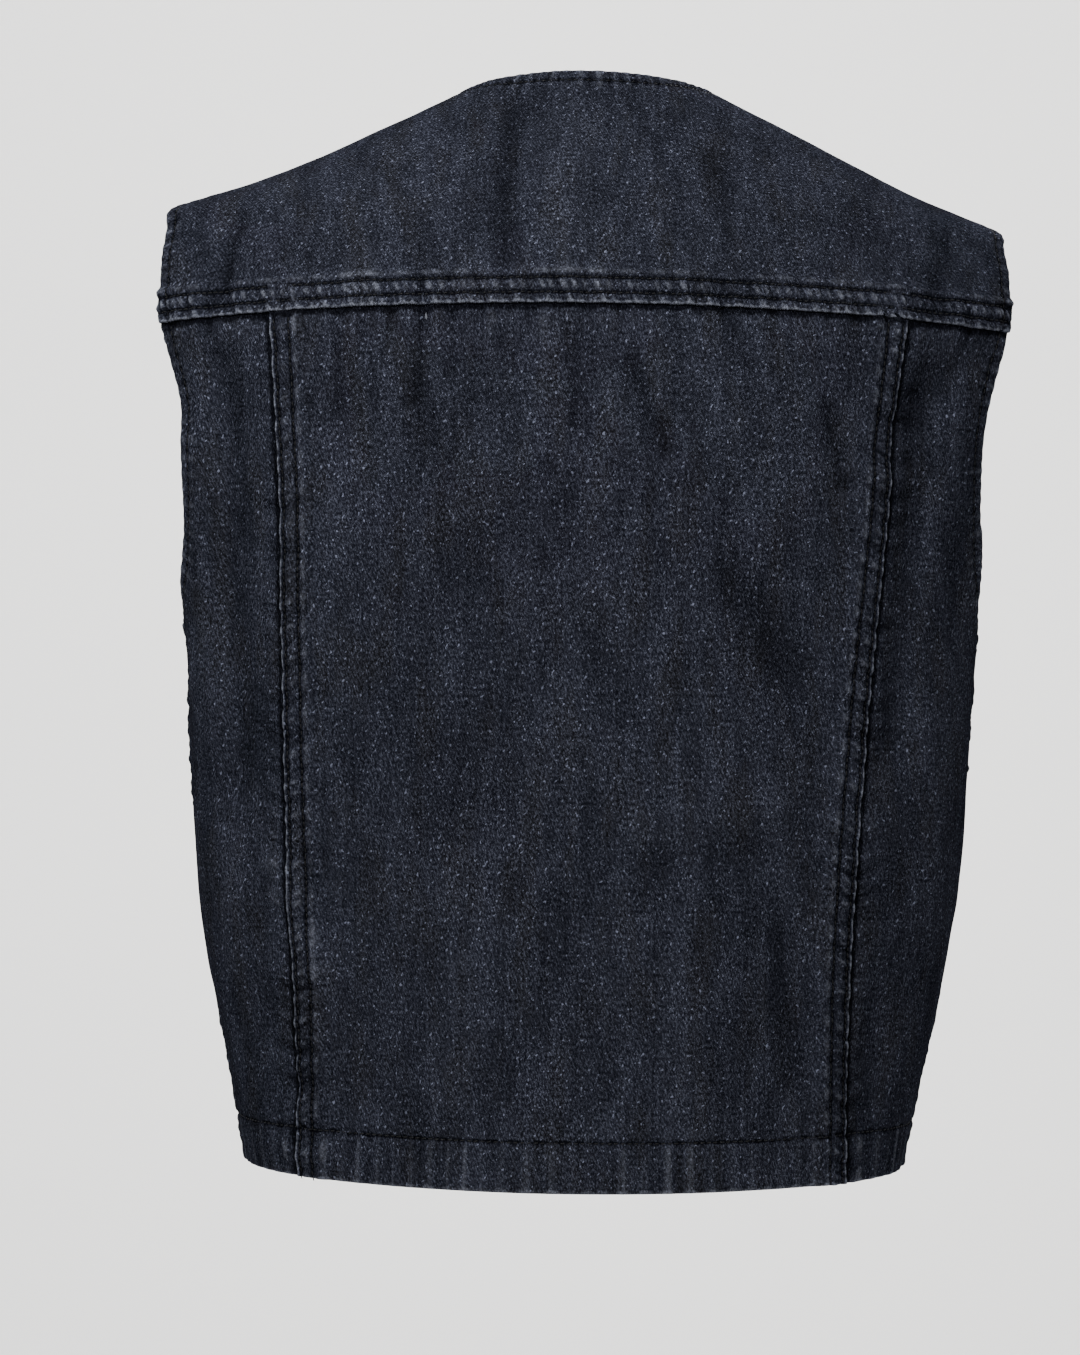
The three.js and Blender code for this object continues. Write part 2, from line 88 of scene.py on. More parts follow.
# The two curved back seams, by their distance from the middle of the back.
BackSeam = namedtuple("BackSeam", "z left right")
BACK_SEAMS = (
    BackSeam(-110, 153, 156),
    BackSeam(-170, 148.5, 150),
    BackSeam(-220, 145.5, 146),
    BackSeam(-270, 144.4, 141.6),
    BackSeam(-330, 142.7, 137),
    BackSeam(-400, 140, 132.7),
    BackSeam(-460, 137, 130.8),
    BackSeam(-550, 134.5, 130),
)

# The folds, each from one place to another: the distance round from the middle of the back,
# to the wearer's left, and the height. A trough's height is below zero.
Fold = namedtuple("Fold", "round0 z0 round1 z1 width height")
LARGE_FOLDS = (
    Fold(182, -150, 176, -350, 13, -5.6),
    Fold(206, -190, 200, -330, 15, 3.1),
    Fold(190, -385, 172, -440, 14, 3.8),
    Fold(166, -425, 150, -500, 12, -3.8),
    Fold(66, -200, 52, -360, 42, -5),
    Fold(108, -395, 96, -500, 24, -3.8),
    Fold(0, -425, -4, -505, 22, -3.8),
    Fold(-30, -372, -92, -362, 14, 3.1),
    Fold(-172, -150, -160, -330, 12, -5),
    Fold(-200, -140, -150, -185, 13, -3.8),
    Fold(-196, -300, -184, -420, 16, 3.8),
    Fold(-160, -440, -150, -505, 13, -3.8),
    Fold(300, -290, 330, -410, 18, -5),
    Fold(390, -160, 360, -250, 20, -5),
    Fold(420, -330, 410, -470, 26, -3.8),
    Fold(-300, -280, -336, -400, 18, -5),
    Fold(-384, -170, -362, -260, 20, -5),
    Fold(-424, -340, -404, -480, 26, -3.8),
    Fold(244, -310, 252, -450, 17, -4.4),
    Fold(-246, -320, -252, -450, 17, -4.4),
)
SMALL_FOLDS = (
    Fold(38, -20, 40, -100, 9, -2.2),
    Fold(10, -30, 8, -105, 10, 1.8),
    Fold(-62, -45, -70, -112, 9, -1.8),
    Fold(112, -62, 108, -112, 8, 1.9),
    Fold(176, -80, 184, -118, 7, -2.4),
    Fold(-186, -84, -172, -120, 8, -2.2),
    Fold(-22, -148, -38, -190, 6, -2.4),
    Fold(-8, -150, -26, -196, 6, 1.6),
    Fold(-118, -170, -126, -206, 6, -2.4),
    Fold(62, -128, 66, -156, 4, -1.8),
    Fold(78, -128, 82, -168, 4.5, -2.1),
    Fold(95, -129, 97, -150, 4, -1.6),
    Fold(30, -128, 34, -152, 4, -1.6),
    Fold(46, -128, 45, -162, 4.5, 1.3),
    Fold(-70, -130, -78, -150, 5, -1.6),
    Fold(118, -130, 121, -172, 5, -1.8),
    Fold(8, -132, 4, -180, 6, -2),
    Fold(19, -130, 21, -165, 5, 1.3),
    Fold(150, -395, 128, -440, 8, 2.2),
    Fold(30, -260, 60, -300, 14, 1.6),
    Fold(-70, -250, -100, -300, 16, -2.2),
    Fold(-96, -420, -104, -492, 10, -2.2),
    Fold(60, -440, 64, -500, 9, 1.9),
    Fold(-44, -440, -52, -505, 9, 2),
    Fold(226, -240, 214, -300, 9, 2.4),
    Fold(-220, -230, -214, -310, 9, 2.4),
    Fold(262, -290, 300, -330, 8, -2.4),
    Fold(-262, -292, -296, -336, 8, -2.4),
    Fold(330, -120, 318, -180, 9, -2.9),
    Fold(-326, -124, -318, -190, 9, -2.9),
    Fold(440, -250, 452, -330, 12, 2.2),
    Fold(-446, -236, -458, -320, 12, 2.2),
    Fold(356, -440, 350, -510, 10, 2.2),
    Fold(-350, -450, -346, -512, 10, 2),
    Fold(280, -440, 270, -515, 9, -2.2),
    Fold(-284, -446, -272, -516, 9, -2.2),
    Fold(470, -120, 500, -160, 9, -1.9),
    Fold(-468, -126, -500, -170, 9, -1.9),
)

# Edges, seams and buttons on the form.
SIDES = ((1, "left"), (-1, "right"))
NECK_SIDE_Z = -8.0
NECK_BACK_RISE = 4.0
NECK_FRONT_DROP = 70.0
ARMHOLE_MIDDLE = -172.5
ARMHOLE_HALF = 102.5
ARMHOLE_BACK = 57.0
ARMHOLE_FRONT = 60.0
YOKE_SEAM_MIDDLE = -121.5
YOKE_SEAM_SAG = 7.5
YOKE_SEAM_REACH = 212.0
SIDE_BACK_X = 150.0
SHOULDER_SEAM_Y = -22.0
SIDE_SEAM_Y = -15.0
HEM_SIDES = -542.0
HEM_DIP = 3.5
FRONT_LAP = 14.0
FRONT_BAND = 28.0
UNDERLAP_INWARD = 3.5
UNDERLAP_FROM = 18.0
UNDERLAP_TO = 48.0
BUTTON_COUNT = 6
BUTTON_FIRST = -92.0
BUTTON_PITCH = 81.6

# Layers of cloth at the seams and edges.
TUCK = 13.0
SHOULDER_TUCK = 9.0
LAYER_GAP = 0.12
SEAM_ALLOWANCE = (15.5, 19.5)
TURNED = 8.2
HEM_BAND = 24.0
BACK_ROWS = (2.3, 9.9)
YOKE_ROWS = (5.1, 12.4)
SIDE_ROWS = (2.0, 8.5)
NECK_ROW = 6.4
ARMHOLE_ROW = 6.7
FRONT_ROWS = (2.2, 26.5)

# How finely the cloth is drawn.
COARSE_ROWS = 72
COARSE_COLUMNS = 44
RELAX_TURNS = 900
EDGE_STEPS = (0.0, 0.2, 0.55, 1.0, 1.6)
SEAM_STEP = 1.05
SEAM_REACH = 20.0
HEM_REACH = 5.0
WIDE_STEP = 3.1
DOWN_STEP = 1.45
YOKE_STEP = 1.5


class VestCloth(bpy.types.PropertyGroup):
    """Sizes of the cloth and its sewing."""

    thickness: FloatProperty(
        name="Cloth", description="Thickness of one layer of denim",
        default=1.5 * MM, min=0.5 * MM, max=3 * MM, precision=4, unit="LENGTH")
    lap: FloatProperty(
        name="Lap", description="How far a lapped seam stands above the cloth beside it",
        default=1.45 * MM, min=0, max=3 * MM, precision=4, unit="LENGTH")
    turned: FloatProperty(
        name="Turned edge", description="Thickness of the turned neck and armhole edges",
        default=2.8 * MM, min=1 * MM, max=4 * MM, precision=4, unit="LENGTH")
    hem: FloatProperty(
        name="Hem", description="Thickness of the turned hem",
        default=3.0 * MM, min=1 * MM, max=5 * MM, precision=4, unit="LENGTH")
    pucker: FloatProperty(
        name="Pucker", description="Height of the small puckers that washing leaves at seams",
        default=0.42 * MM, min=0, max=1 * MM, precision=5, unit="LENGTH")
    stitch: FloatProperty(
        name="Stitch", description="Length from one stitch to the next",
        default=3.2 * MM, min=1 * MM, max=6 * MM, precision=4, unit="LENGTH")
    thread: FloatProperty(
        name="Thread", description="Width of the sewing thread",
        default=0.66 * MM, min=0.2 * MM, max=1.5 * MM, precision=5, unit="LENGTH")


class VestColours(bpy.types.PropertyGroup):
    """Colours of the finishes, as linear light."""

    warp: FloatVectorProperty(
        name="Warp", description="Dyed yarns of the denim's face", subtype="COLOR",
        default=(0.0052, 0.0056, 0.0086), min=0, max=1)
    fleck: FloatVectorProperty(
        name="Fleck", description="Paler yarn that shows through the dye", subtype="COLOR",
        default=(0.069, 0.075, 0.103), min=0, max=1)
    worn: FloatVectorProperty(
        name="Worn", description="Rubbed ridges at the seams and edges", subtype="COLOR",
        default=(0.150, 0.160, 0.196), min=0, max=1)
    inside: FloatVectorProperty(
        name="Inside", description="Undyed weft on the cloth's inner face", subtype="COLOR",
        default=(0.060, 0.063, 0.074), min=0, max=1)
    thread: FloatVectorProperty(
        name="Thread", description="Sewing thread", subtype="COLOR",
        default=(0.0022, 0.0022, 0.0026), min=0, max=1)
    metal: FloatVectorProperty(
        name="Metal", description="Dark metal of the buttons", subtype="COLOR",
        default=(0.21, 0.18, 0.14), min=0, max=1)


class VestStage(bpy.types.PropertyGroup):
    """The floor, the lights and the camera."""

    distance: FloatProperty(
        name="Distance", description="From the camera to the middle of the vest",
        default=2.25, min=1, max=6, unit="LENGTH")
    pixels_per_metre: FloatProperty(
        name="Scale", description="Image pixels for a metre at the middle of the vest",
        default=2000, min=500, max=4000)
    image_height: IntProperty(
        name="Image height", description="Height of the image in pixels",
        default=1355, min=100, max=4000)
    floor: FloatProperty(
        name="Floor", description="Height of the floor, a wearer's height below the neck",
        default=-1.4, min=-3, max=-0.6, unit="LENGTH")


def smooth(value, low, high):
    """A soft step from 0 below one value to 1 above the other."""
    t = np.clip((value - low) / (high - low), 0, 1)
    return t * t * (3 - 2 * t)


def bump(value, middle, width):
    """A soft bump of height 1 round a middle value."""
    return np.exp(-(((value - middle) / width) ** 2))


# The form: rings turned into a smooth surface.

def look_up(rows, column, z):
    """A smooth curve through one column of a table whose rows run downwards."""
    heights = np.array([row.z for row in rows], float)
    values = np.array([getattr(row, column) for row in rows], float)
    slopes = np.empty_like(values)
    slopes[1:-1] = (values[2:] - values[:-2]) / (heights[2:] - heights[:-2])
    slopes[0] = (values[1] - values[0]) / (heights[1] - heights[0])
    slopes[-1] = (values[-1] - values[-2]) / (heights[-1] - heights[-2])
    at = np.clip(z, heights[-1], heights[0])
    i = np.clip(np.searchsorted(-heights, -at, side="right") - 1, 0, len(rows) - 2)
    span = heights[i + 1] - heights[i]
    t = (at - heights[i]) / span
    start = (1 + 2 * t) * (1 - t) ** 2 * values[i]
    end = t * t * (3 - 2 * t) * values[i + 1]
    return start + end + span * t * (1 - t) * ((1 - t) * slopes[i] - t * slopes[i + 1])


# Steps by which half a ring is drawn, steps by which its shares are kept, and levels of the form.
RING_STEPS = 720
SHARE_STEPS = 520
LEVEL_COUNT = 1100
LEVELS = np.linspace(RINGS[-1].z - 1, RINGS[0].z, LEVEL_COUNT)


def ring_table():
    """Every level's ring from the middle of the back round the left to the front, by share."""
    turn = np.linspace(0, math.pi, RING_STEPS + 1)
    shares = np.linspace(0, 1, SHARE_STEPS + 1)
    xs = np.empty((len(LEVELS), SHARE_STEPS + 1))
    ys = np.empty_like(xs)
    lengths = np.empty(len(LEVELS))
    for row, z in enumerate(LEVELS):
        power = 2 / look_up(RINGS, "power", z)
        back = look_up(RINGS, "back", z)
        front = look_up(RINGS, "front", z)
        x = look_up(RINGS, "half", z) * np.abs(np.sin(turn)) ** power
        along = np.abs(np.cos(turn)) ** power
        y = np.where(turn < math.pi / 2, back * along, -front * along)
        reach = np.concatenate([[0], np.cumsum(np.hypot(np.diff(x), np.diff(y)))])
        lengths[row] = reach[-1]
        xs[row] = np.interp(shares * reach[-1], reach, x)
        ys[row] = np.interp(shares * reach[-1], reach, y)
    return xs, ys, lengths


RING_X, RING_Y, RING_LENGTH = ring_table()


def half_length(z):
    """Half the distance round the garment at a height."""
    return np.interp(z, LEVELS, RING_LENGTH)


def form_point(q, z):
    """A place on the form: q is the share of the half ring from the middle of the back."""
    q, z = np.broadcast_arrays(np.asarray(q, float), np.asarray(z, float))
    turned = np.where(np.abs(q) > 1, q - 2 * np.sign(q), q)
    row = np.clip((z - LEVELS[0]) / (LEVELS[1] - LEVELS[0]), 0, len(LEVELS) - 1.001)
    column = np.clip(np.abs(turned) * SHARE_STEPS, 0, SHARE_STEPS - 0.001)
    i, j = row.astype(int), column.astype(int)
    v, u = row - i, column - j

    def blend(table):
        lower = table[i, j] * (1 - u) + table[i, j + 1] * u
        upper = table[i + 1, j] * (1 - u) + table[i + 1, j + 1] * u
        return lower * (1 - v) + upper * v

    x = np.where(turned < 0, -1, 1) * blend(RING_X)
    rise = smooth(np.abs(x), *SHOULDER_FROM_X) * smooth(z, *SHOULDER_FROM_Z)
    return np.stack([x, blend(RING_Y), z + np.sign(x) * SHOULDER_RISE * rise], axis=-1)


def flat_heights():
    """For every level, a height on flat cloth that keeps the form's angles."""
    shares = np.linspace(0.1, 0.9, 17)
    lines = [form_point(np.full(len(LEVELS), share), LEVELS) for share in shares]
    steps = np.mean([np.linalg.norm(np.diff(line, axis=0), axis=1) for line in lines], axis=0)
    middle = (RING_LENGTH[1:] + RING_LENGTH[:-1]) / 2
    return np.concatenate([[0], np.cumsum(steps / np.maximum(middle, 20))])


FLAT_HEIGHTS = flat_heights()


def places_at(q, z):
    """Places from their shares and heights."""
    return np.stack([q, z], axis=-1)


def flattened(places):
    """Places with the height on flat cloth in place of their own."""
    return places_at(places[..., 0], np.interp(places[..., 1], LEVELS, FLAT_HEIGHTS))


def raised(places):
    """The reverse of flattened."""
    return places_at(places[..., 0], np.interp(places[..., 1], FLAT_HEIGHTS, LEVELS))


def form_slopes(q, z):
    """How the form runs at a place: across for a whole share, and up for a millimetre."""
    step = 2.0 / half_length(z)
    across = (form_point(q + step, z) - form_point(q - step, z)) / (2 * step)[..., None]
    rise = (form_point(q, z + 1.5) - form_point(q, z - 1.5)) / 3
    return across, rise


def unit(vectors):
    """Vectors at a length of 1."""
    return vectors / np.maximum(np.linalg.norm(vectors, axis=-1, keepdims=True), 1e-9)


def form_outward(q, z):
    """The direction square to the form, outwards."""
    across, rise = form_slopes(q, z)
    return unit(np.cross(rise, across))


def share_at_x(z, x, front=False):
    """The share of the half ring at which the form is x from the middle plane."""
    z, x = np.broadcast_arrays(np.asarray(z, float), np.asarray(x, float))
    found = np.empty(z.shape)
    shares = np.linspace(0, 1, SHARE_STEPS + 1)
    for index in np.ndindex(z.shape):
        line = form_point(shares, np.full(shares.shape, z[index]))[:, 0]
        widest = int(np.argmax(line))
        if front:
            found[index] = np.interp(x[index], line[widest:][::-1], shares[widest:][::-1])
        else:
            found[index] = np.interp(x[index], line[:widest + 1], shares[:widest + 1])
    return found


def share_at_y(z, y):
    """The share of the half ring at which the form is y behind the middle."""
    z, y = np.broadcast_arrays(np.asarray(z, float), np.asarray(y, float))
    found = np.empty(z.shape)
    shares = np.linspace(0, 1, SHARE_STEPS + 1)
    for index in np.ndindex(z.shape):
        line = form_point(shares, np.full(shares.shape, z[index]))[:, 1]
        found[index] = np.interp(-y[index], -line, shares)
    return found


# Edges and seams as lines of places, each an array of shares and heights.

# Angles from the neck's side within which its shares are smoothed, and those that guide them.
NECK_SMOOTHED = 0.25
NECK_GUIDE = 0.7


def neck_table():
    """The neck edge's share for each angle from the middle of the back to the front."""
    angles = np.linspace(0, math.pi, 361)
    half = float(look_up(RINGS, "half", NECK_SIDE_Z))
    drop = np.where(angles > math.pi / 2, NECK_FRONT_DROP, NECK_BACK_RISE)
    z = NECK_SIDE_Z + drop * np.cos(angles)
    x = half * np.sin(angles)
    back = angles <= math.pi / 2
    q = np.concatenate([share_at_x(z[back], x[back]), share_at_x(z[~back], x[~back], True)])
    # Beside the neck the ring runs straight back, where x says little about the share.
    from_side = np.abs(angles - math.pi / 2)
    beside = from_side < NECK_SMOOTHED
    around = (from_side >= NECK_SMOOTHED) & (from_side < NECK_GUIDE)
    curve = np.polyfit(angles[around] - math.pi / 2, q[around], 5)
    q[beside] = np.polyval(curve, angles[beside] - math.pi / 2)
    return angles, q


NECK_ANGLES, NECK_SHARES = neck_table()


def neck_edge(angles):
    """The neck edge by its angle from the middle of the back, on the left side."""
    angles = np.atleast_1d(angles)
    past = angles > math.pi
    turn = np.where(past, 2 * math.pi - angles, angles)
    drop = np.where(turn > math.pi / 2, NECK_FRONT_DROP, NECK_BACK_RISE)
    q = np.interp(turn, NECK_ANGLES, NECK_SHARES)
    return places_at(np.where(past, 2 - q, q), NECK_SIDE_Z + drop * np.cos(turn))


def armhole_edge(angles):
    """The armhole edge by its angle from the shoulder tip, backwards round to the front."""
    angles = np.atleast_1d(angles)
    depth = np.where(np.sin(angles) > 0, ARMHOLE_BACK, ARMHOLE_FRONT)
    z = ARMHOLE_MIDDLE + ARMHOLE_HALF * np.cos(angles)
    return places_at(share_at_y(z, depth * np.sin(angles)), z)


def yoke_seam_z(x):
    """The yoke seam's height at a distance from the middle plane."""
    return YOKE_SEAM_MIDDLE - YOKE_SEAM_SAG * (x / YOKE_SEAM_REACH) ** 2


def hem_z(q):
    """The hem's height at a share."""
    return HEM_SIDES - HEM_DIP * np.maximum(0, np.cos(math.pi * q)) ** 2


def back_seam_share(side, z):
    """The share of the curved back seam of one side at heights."""
    return share_at_x(z, look_up(BACK_SEAMS, "left" if side > 0 else "right", z))


def solve(measure, low, high):
    """Where a measure changes sign."""
    start = measure(low) > 0
    for _ in range(40):
        middle = (low + high) / 2
        if (measure(middle) > 0) == start:
            low = middle
        else:
            high = middle
    return (low + high) / 2


def y_of(places):
    """How far the first place of a line lies behind the middle."""
    return float(form_point(*places[0])[1])


def corner_measure(angle):
    """How far the armhole edge lies above the yoke seam at an angle."""
    place = armhole_edge(angle)
    return place[0, 1] - yoke_seam_z(form_point(*place[0])[0])


NECK_SEAM_ANGLE = solve(lambda a: y_of(neck_edge(a)) - SHOULDER_SEAM_Y, math.pi / 2, 2.8)
TIP_SEAM_ANGLE = math.asin(SHOULDER_SEAM_Y / ARMHOLE_FRONT)
UNDERARM_ANGLE = math.pi - math.asin(SIDE_SEAM_Y / ARMHOLE_FRONT)
NECK_END_ANGLE = math.pi + math.asin(FRONT_LAP / float(look_up(RINGS, "half", NECK_SIDE_Z)))
YOKE_CORNER = solve(corner_measure, 0.1, math.pi / 2)
NECK_SEAM_Z = float(neck_edge(NECK_SEAM_ANGLE)[0, 1])
TIP_SEAM_Z = float(armhole_edge(TIP_SEAM_ANGLE)[0, 1])
UNDERARM_Z = float(armhole_edge(UNDERARM_ANGLE)[0, 1])
YOKE_CORNER_X = float(form_point(*armhole_edge(YOKE_CORNER)[0])[0])


def line_points(places):
    """The points of the form at a line's places."""
    return form_point(places[:, 0], places[:, 1])


def line_reach(points):
    """The distance along a line of points from its start."""
    steps = np.linalg.norm(np.diff(points, axis=0), axis=1)
    return np.concatenate([[0], np.cumsum(steps)])


def line_length(places):
    """The whole length of a line of places."""
    return line_reach(line_points(places))[-1]


def spaced(places, reaches):
    """The places at given distances along a line of places."""
    reach = line_reach(line_points(places))
    return places_at(*(np.interp(reaches, reach, places[:, k]) for k in range(2)))


def even(places, step=2.0):
    """The same line with even steps."""
    total = line_length(places)
    return spaced(places, np.linspace(0, total, max(int(round(total / step)), 2) + 1))


def nudged(places, distance):
    """A line moved sideways on the form, to the left of its own direction seen from outside."""
    q, z = places[:, 0].copy(), places[:, 1].copy()
    parts = max(int(abs(distance) // 4) + 1, 1)
    for _ in range(parts):
        across, rise = form_slopes(q, z)
        outward = unit(np.cross(rise, across))
        along = unit(np.gradient(form_point(q, z), axis=0))
        move = np.cross(outward, along) * (distance / parts)
        aa, bb = (across * across).sum(1), (rise * rise).sum(1)
        ab = (across * rise).sum(1)
        ma, mb = (move * across).sum(1), (move * rise).sum(1)
        det = aa * bb - ab * ab
        q = q + (ma * bb - mb * ab) / det
        z = z + (mb * aa - ma * ab) / det
    return places_at(q, z)


def sided(places, side):
    """Places of the left side, on the given side."""
    return places * np.array([side, 1.0])


def joined(*lines):
    """Lines put end to end, the shared points once."""
    return np.concatenate([lines[0]] + [line[1:] for line in lines[1:]])


def ended(line, first, last):
    """A line with its two ends put at given places."""
    line[0], line[-1] = first, last
    return line


def downwards(share, top, bottom, count):
    """A line from one height down to another, its shares given by a function of the height."""
    down = np.linspace(top, bottom, count)
    return places_at(share(down), down)


def hem_between(first, last, count):
    """The hem's line from one share to another."""
    q = np.linspace(first, last, count)
    return places_at(q, hem_z(q))


def seam_lines():
    """Every seam and edge of the vest, as even lines of places."""
    x = np.linspace(YOKE_CORNER_X, -YOKE_CORNER_X, 140)
    z = yoke_seam_z(x)
    half_neck = neck_edge(np.linspace(0, NECK_END_ANGLE, 120))
    lines = {
        "yoke_seam": places_at(share_at_x(z, np.abs(x)) * np.where(x < 0, -1, 1), z),
        "hem": hem_between(-1.06, 1.06, 500),
        "neck": joined(sided(half_neck[::-1], -1), half_neck),
    }
    for side, word in SIDES:
        half = {
            "back_seam_": downwards(lambda z: back_seam_share(side, z), YOKE_SEAM_MIDDLE - 3,
                                    HEM_SIDES - 3, 200),
            "side_seam_": downwards(lambda z: share_at_y(z, SIDE_SEAM_Y), UNDERARM_Z,
                                    HEM_SIDES, 140),
            "shoulder_seam_": downwards(lambda z: share_at_y(z, SHOULDER_SEAM_Y), NECK_SEAM_Z,
                                        TIP_SEAM_Z, 60),
            "armhole_": armhole_edge(np.linspace(0, 2 * math.pi, 260)),
            "front_edge_": downwards(lambda z: 2 - share_at_x(z, FRONT_LAP, True),
                                     half_neck[-1, 1], HEM_SIDES, 160),
        }
        lines.update({name + word: sided(line, side) for name, line in half.items()})
    return {name: even(line) for name, line in lines.items()}


LINES = seam_lines()
LINE_POINTS = {name: line_points(places) for name, places in LINES.items()}


def seam_share(line, z):
    """The share at which a seam that runs downwards crosses heights."""
    places = LINES[line]
    order = np.argsort(places[:, 1])
    return np.interp(z, places[order, 1], np.abs(places[order, 0]))


def nearest(name, points):
    """How far points lie from a named line, and how far along it the nearest place is."""
    curve = LINE_POINTS[name]
    reach = line_reach(curve)
    best = np.empty(len(points), int)
    for start in range(0, len(points), 4000):
        part = points[start:start + 4000]
        gaps = ((part[:, None, :] - curve[None, :, :]) ** 2).sum(axis=2)
        best[start:start + 4000] = gaps.argmin(axis=1)
    distance = np.full(len(points), np.inf)
    along = np.zeros(len(points))
    for shift in (-1, 0):
        first = np.clip(best + shift, 0, len(curve) - 2)
        base, run = curve[first], curve[first + 1] - curve[first]
        share = ((points - base) * run).sum(1) / np.maximum((run * run).sum(1), 1e-9)
        share = np.clip(share, 0, 1)
        gap = np.linalg.norm(points - base - run * share[:, None], axis=1)
        closer = gap < distance
        distance = np.where(closer, gap, distance)
        along = np.where(closer, reach[first] + share * np.linalg.norm(run, axis=1), along)
    return distance, along


# Relief: folds, seams and edges as heights over the form, in millimetres.

def wander(along, step, seed):
    """A smooth random line between -1 and 1, with a turn for each step."""
    values = np.random.default_rng(SEED + seed).uniform(-1, 1, 800)
    at = along / step + 40
    i = np.clip(at.astype(int), 0, 798)
    t = smooth(at - i, 0, 1)
    return values[i] * (1 - t) + values[i + 1] * t


def roping(along, pitch, seed):
    """Puckers along a seam, uneven in pitch and height."""
    phase = along / pitch + 0.55 * wander(along, 3.1 * pitch, seed)
    height = 0.72 + 0.28 * wander(along, 2.3 * pitch, seed + 1)
    second = np.sin(2 * math.pi * (along / (1.63 * pitch) + 0.4 * wander(along, 31, seed + 2)))
    return height * (0.9 * np.sin(2 * math.pi * phase) + 0.25 * second)


def fold_heights(q, z, folds):
    """The folds at places, soft troughs and ridges."""
    around = q * half_length(z)
    height = np.zeros_like(around)
    for fold in folds:
        run = np.array([fold.round1 - fold.round0, fold.z1 - fold.z0])
        du, dv = around - fold.round0, z - fold.z0
        t = np.clip((du * run[0] + dv * run[1]) / (run @ run), 0, 1)
        gap = np.hypot(du - t * run[0], dv - t * run[1])
        height += fold.height * np.exp(-((gap / fold.width) ** 2))
    return height


def ripple_heights(points):
    """The cloth's slight unevenness, which no fold explains."""
    heights = np.empty(len(points))
    for i, point in enumerate(points):
        at = Vector(point)
        heights[i] = 0.9 * noise.noise(at * 0.021) + 0.32 * noise.noise(at * 0.062)
    return heights


# How each line shapes the cloth: the pieces that lie over and under, the rows of stitches and
# the pitch of the puckers, their height, and how strongly the seam is rubbed pale on its puckers'
# crests and painted with shade between them.
Seam = namedtuple("Seam", "line over under rows pitch pucker rub")
SEAMS = (
    Seam("yoke_seam", ("yoke",), ("back_center", "back_side_left", "back_side_right"),
         YOKE_ROWS, 5.2, 1.45, 0.62),
    Seam("back_seam_left", ("back_center",), ("back_side_left",), BACK_ROWS, 5.7, 1.15, 0.34),
    Seam("back_seam_right", ("back_center",), ("back_side_right",), BACK_ROWS, 5.4, 1.15, 0.34),
    Seam("side_seam_left", ("back_side_left",), ("front_left",), SIDE_ROWS, 6.2, 0.7, 0.34),
    Seam("side_seam_right", ("back_side_right",), ("front_right",), SIDE_ROWS, 6.4, 0.7, 0.34),
    Seam("shoulder_seam_left", ("yoke",), ("front_left",), SIDE_ROWS, 6.0, 0.5, 0.4),
    Seam("shoulder_seam_right", ("yoke",), ("front_right",), SIDE_ROWS, 6.2, 0.5, 0.4),
)
Edge = namedtuple("Edge", "line pieces row depth pitch pucker")
EDGES = (
    Edge("neck", ("yoke", "front_left", "front_right"), NECK_ROW, TURNED, 6.8, 0.5),
    Edge("armhole_left", ("yoke", "back_side_left", "front_left"), ARMHOLE_ROW, TURNED, 7.2, 0.6),
    Edge("armhole_right", ("yoke", "back_side_right", "front_right"), ARMHOLE_ROW, TURNED,
         7.4, 0.6),
    Edge("hem", ("back_center", "back_side_left", "back_side_right", "front_left",
                 "front_right"), HEM_BAND, HEM_BAND + 1.5, 9.5, 0.95),
)


# The reach of a seam's puckers over its upper and its lower piece, and the pitch, the height and
# the spread of the wide gathers beside them, as shares of the puckers' own.
PUCKER_REACH = (21.0, 15.0)
GATHER_PITCH = 2.6
GATHER_HEIGHT = 1.6
GATHER_SPREAD = 1.5

# The least distance between the two faces of the cloth, in millimetres.
LEAST_WALL = 0.15


def groove(distance, row):
    """How deep a row of stitches has drawn the cloth in."""
    return 0.85 * bump(distance, row, 1.0)


def edge_round(distance, thickness):
    """How far a folded edge has turned inwards, near its end."""
    radius = thickness / 2
    inside = np.clip(radius - distance, 0, radius)
    return radius - np.sqrt(np.maximum(radius * radius - inside * inside, 0))


def past_seam(seam, q, z):
    """How far places lie past a seam on its upper piece's side, in millimetres."""
    if seam.line == "yoke_seam":
        return z - yoke_seam_z(form_point(q, z)[..., 0])
    return (seam_share(seam.line, z) - np.abs(q)) * half_length(z)


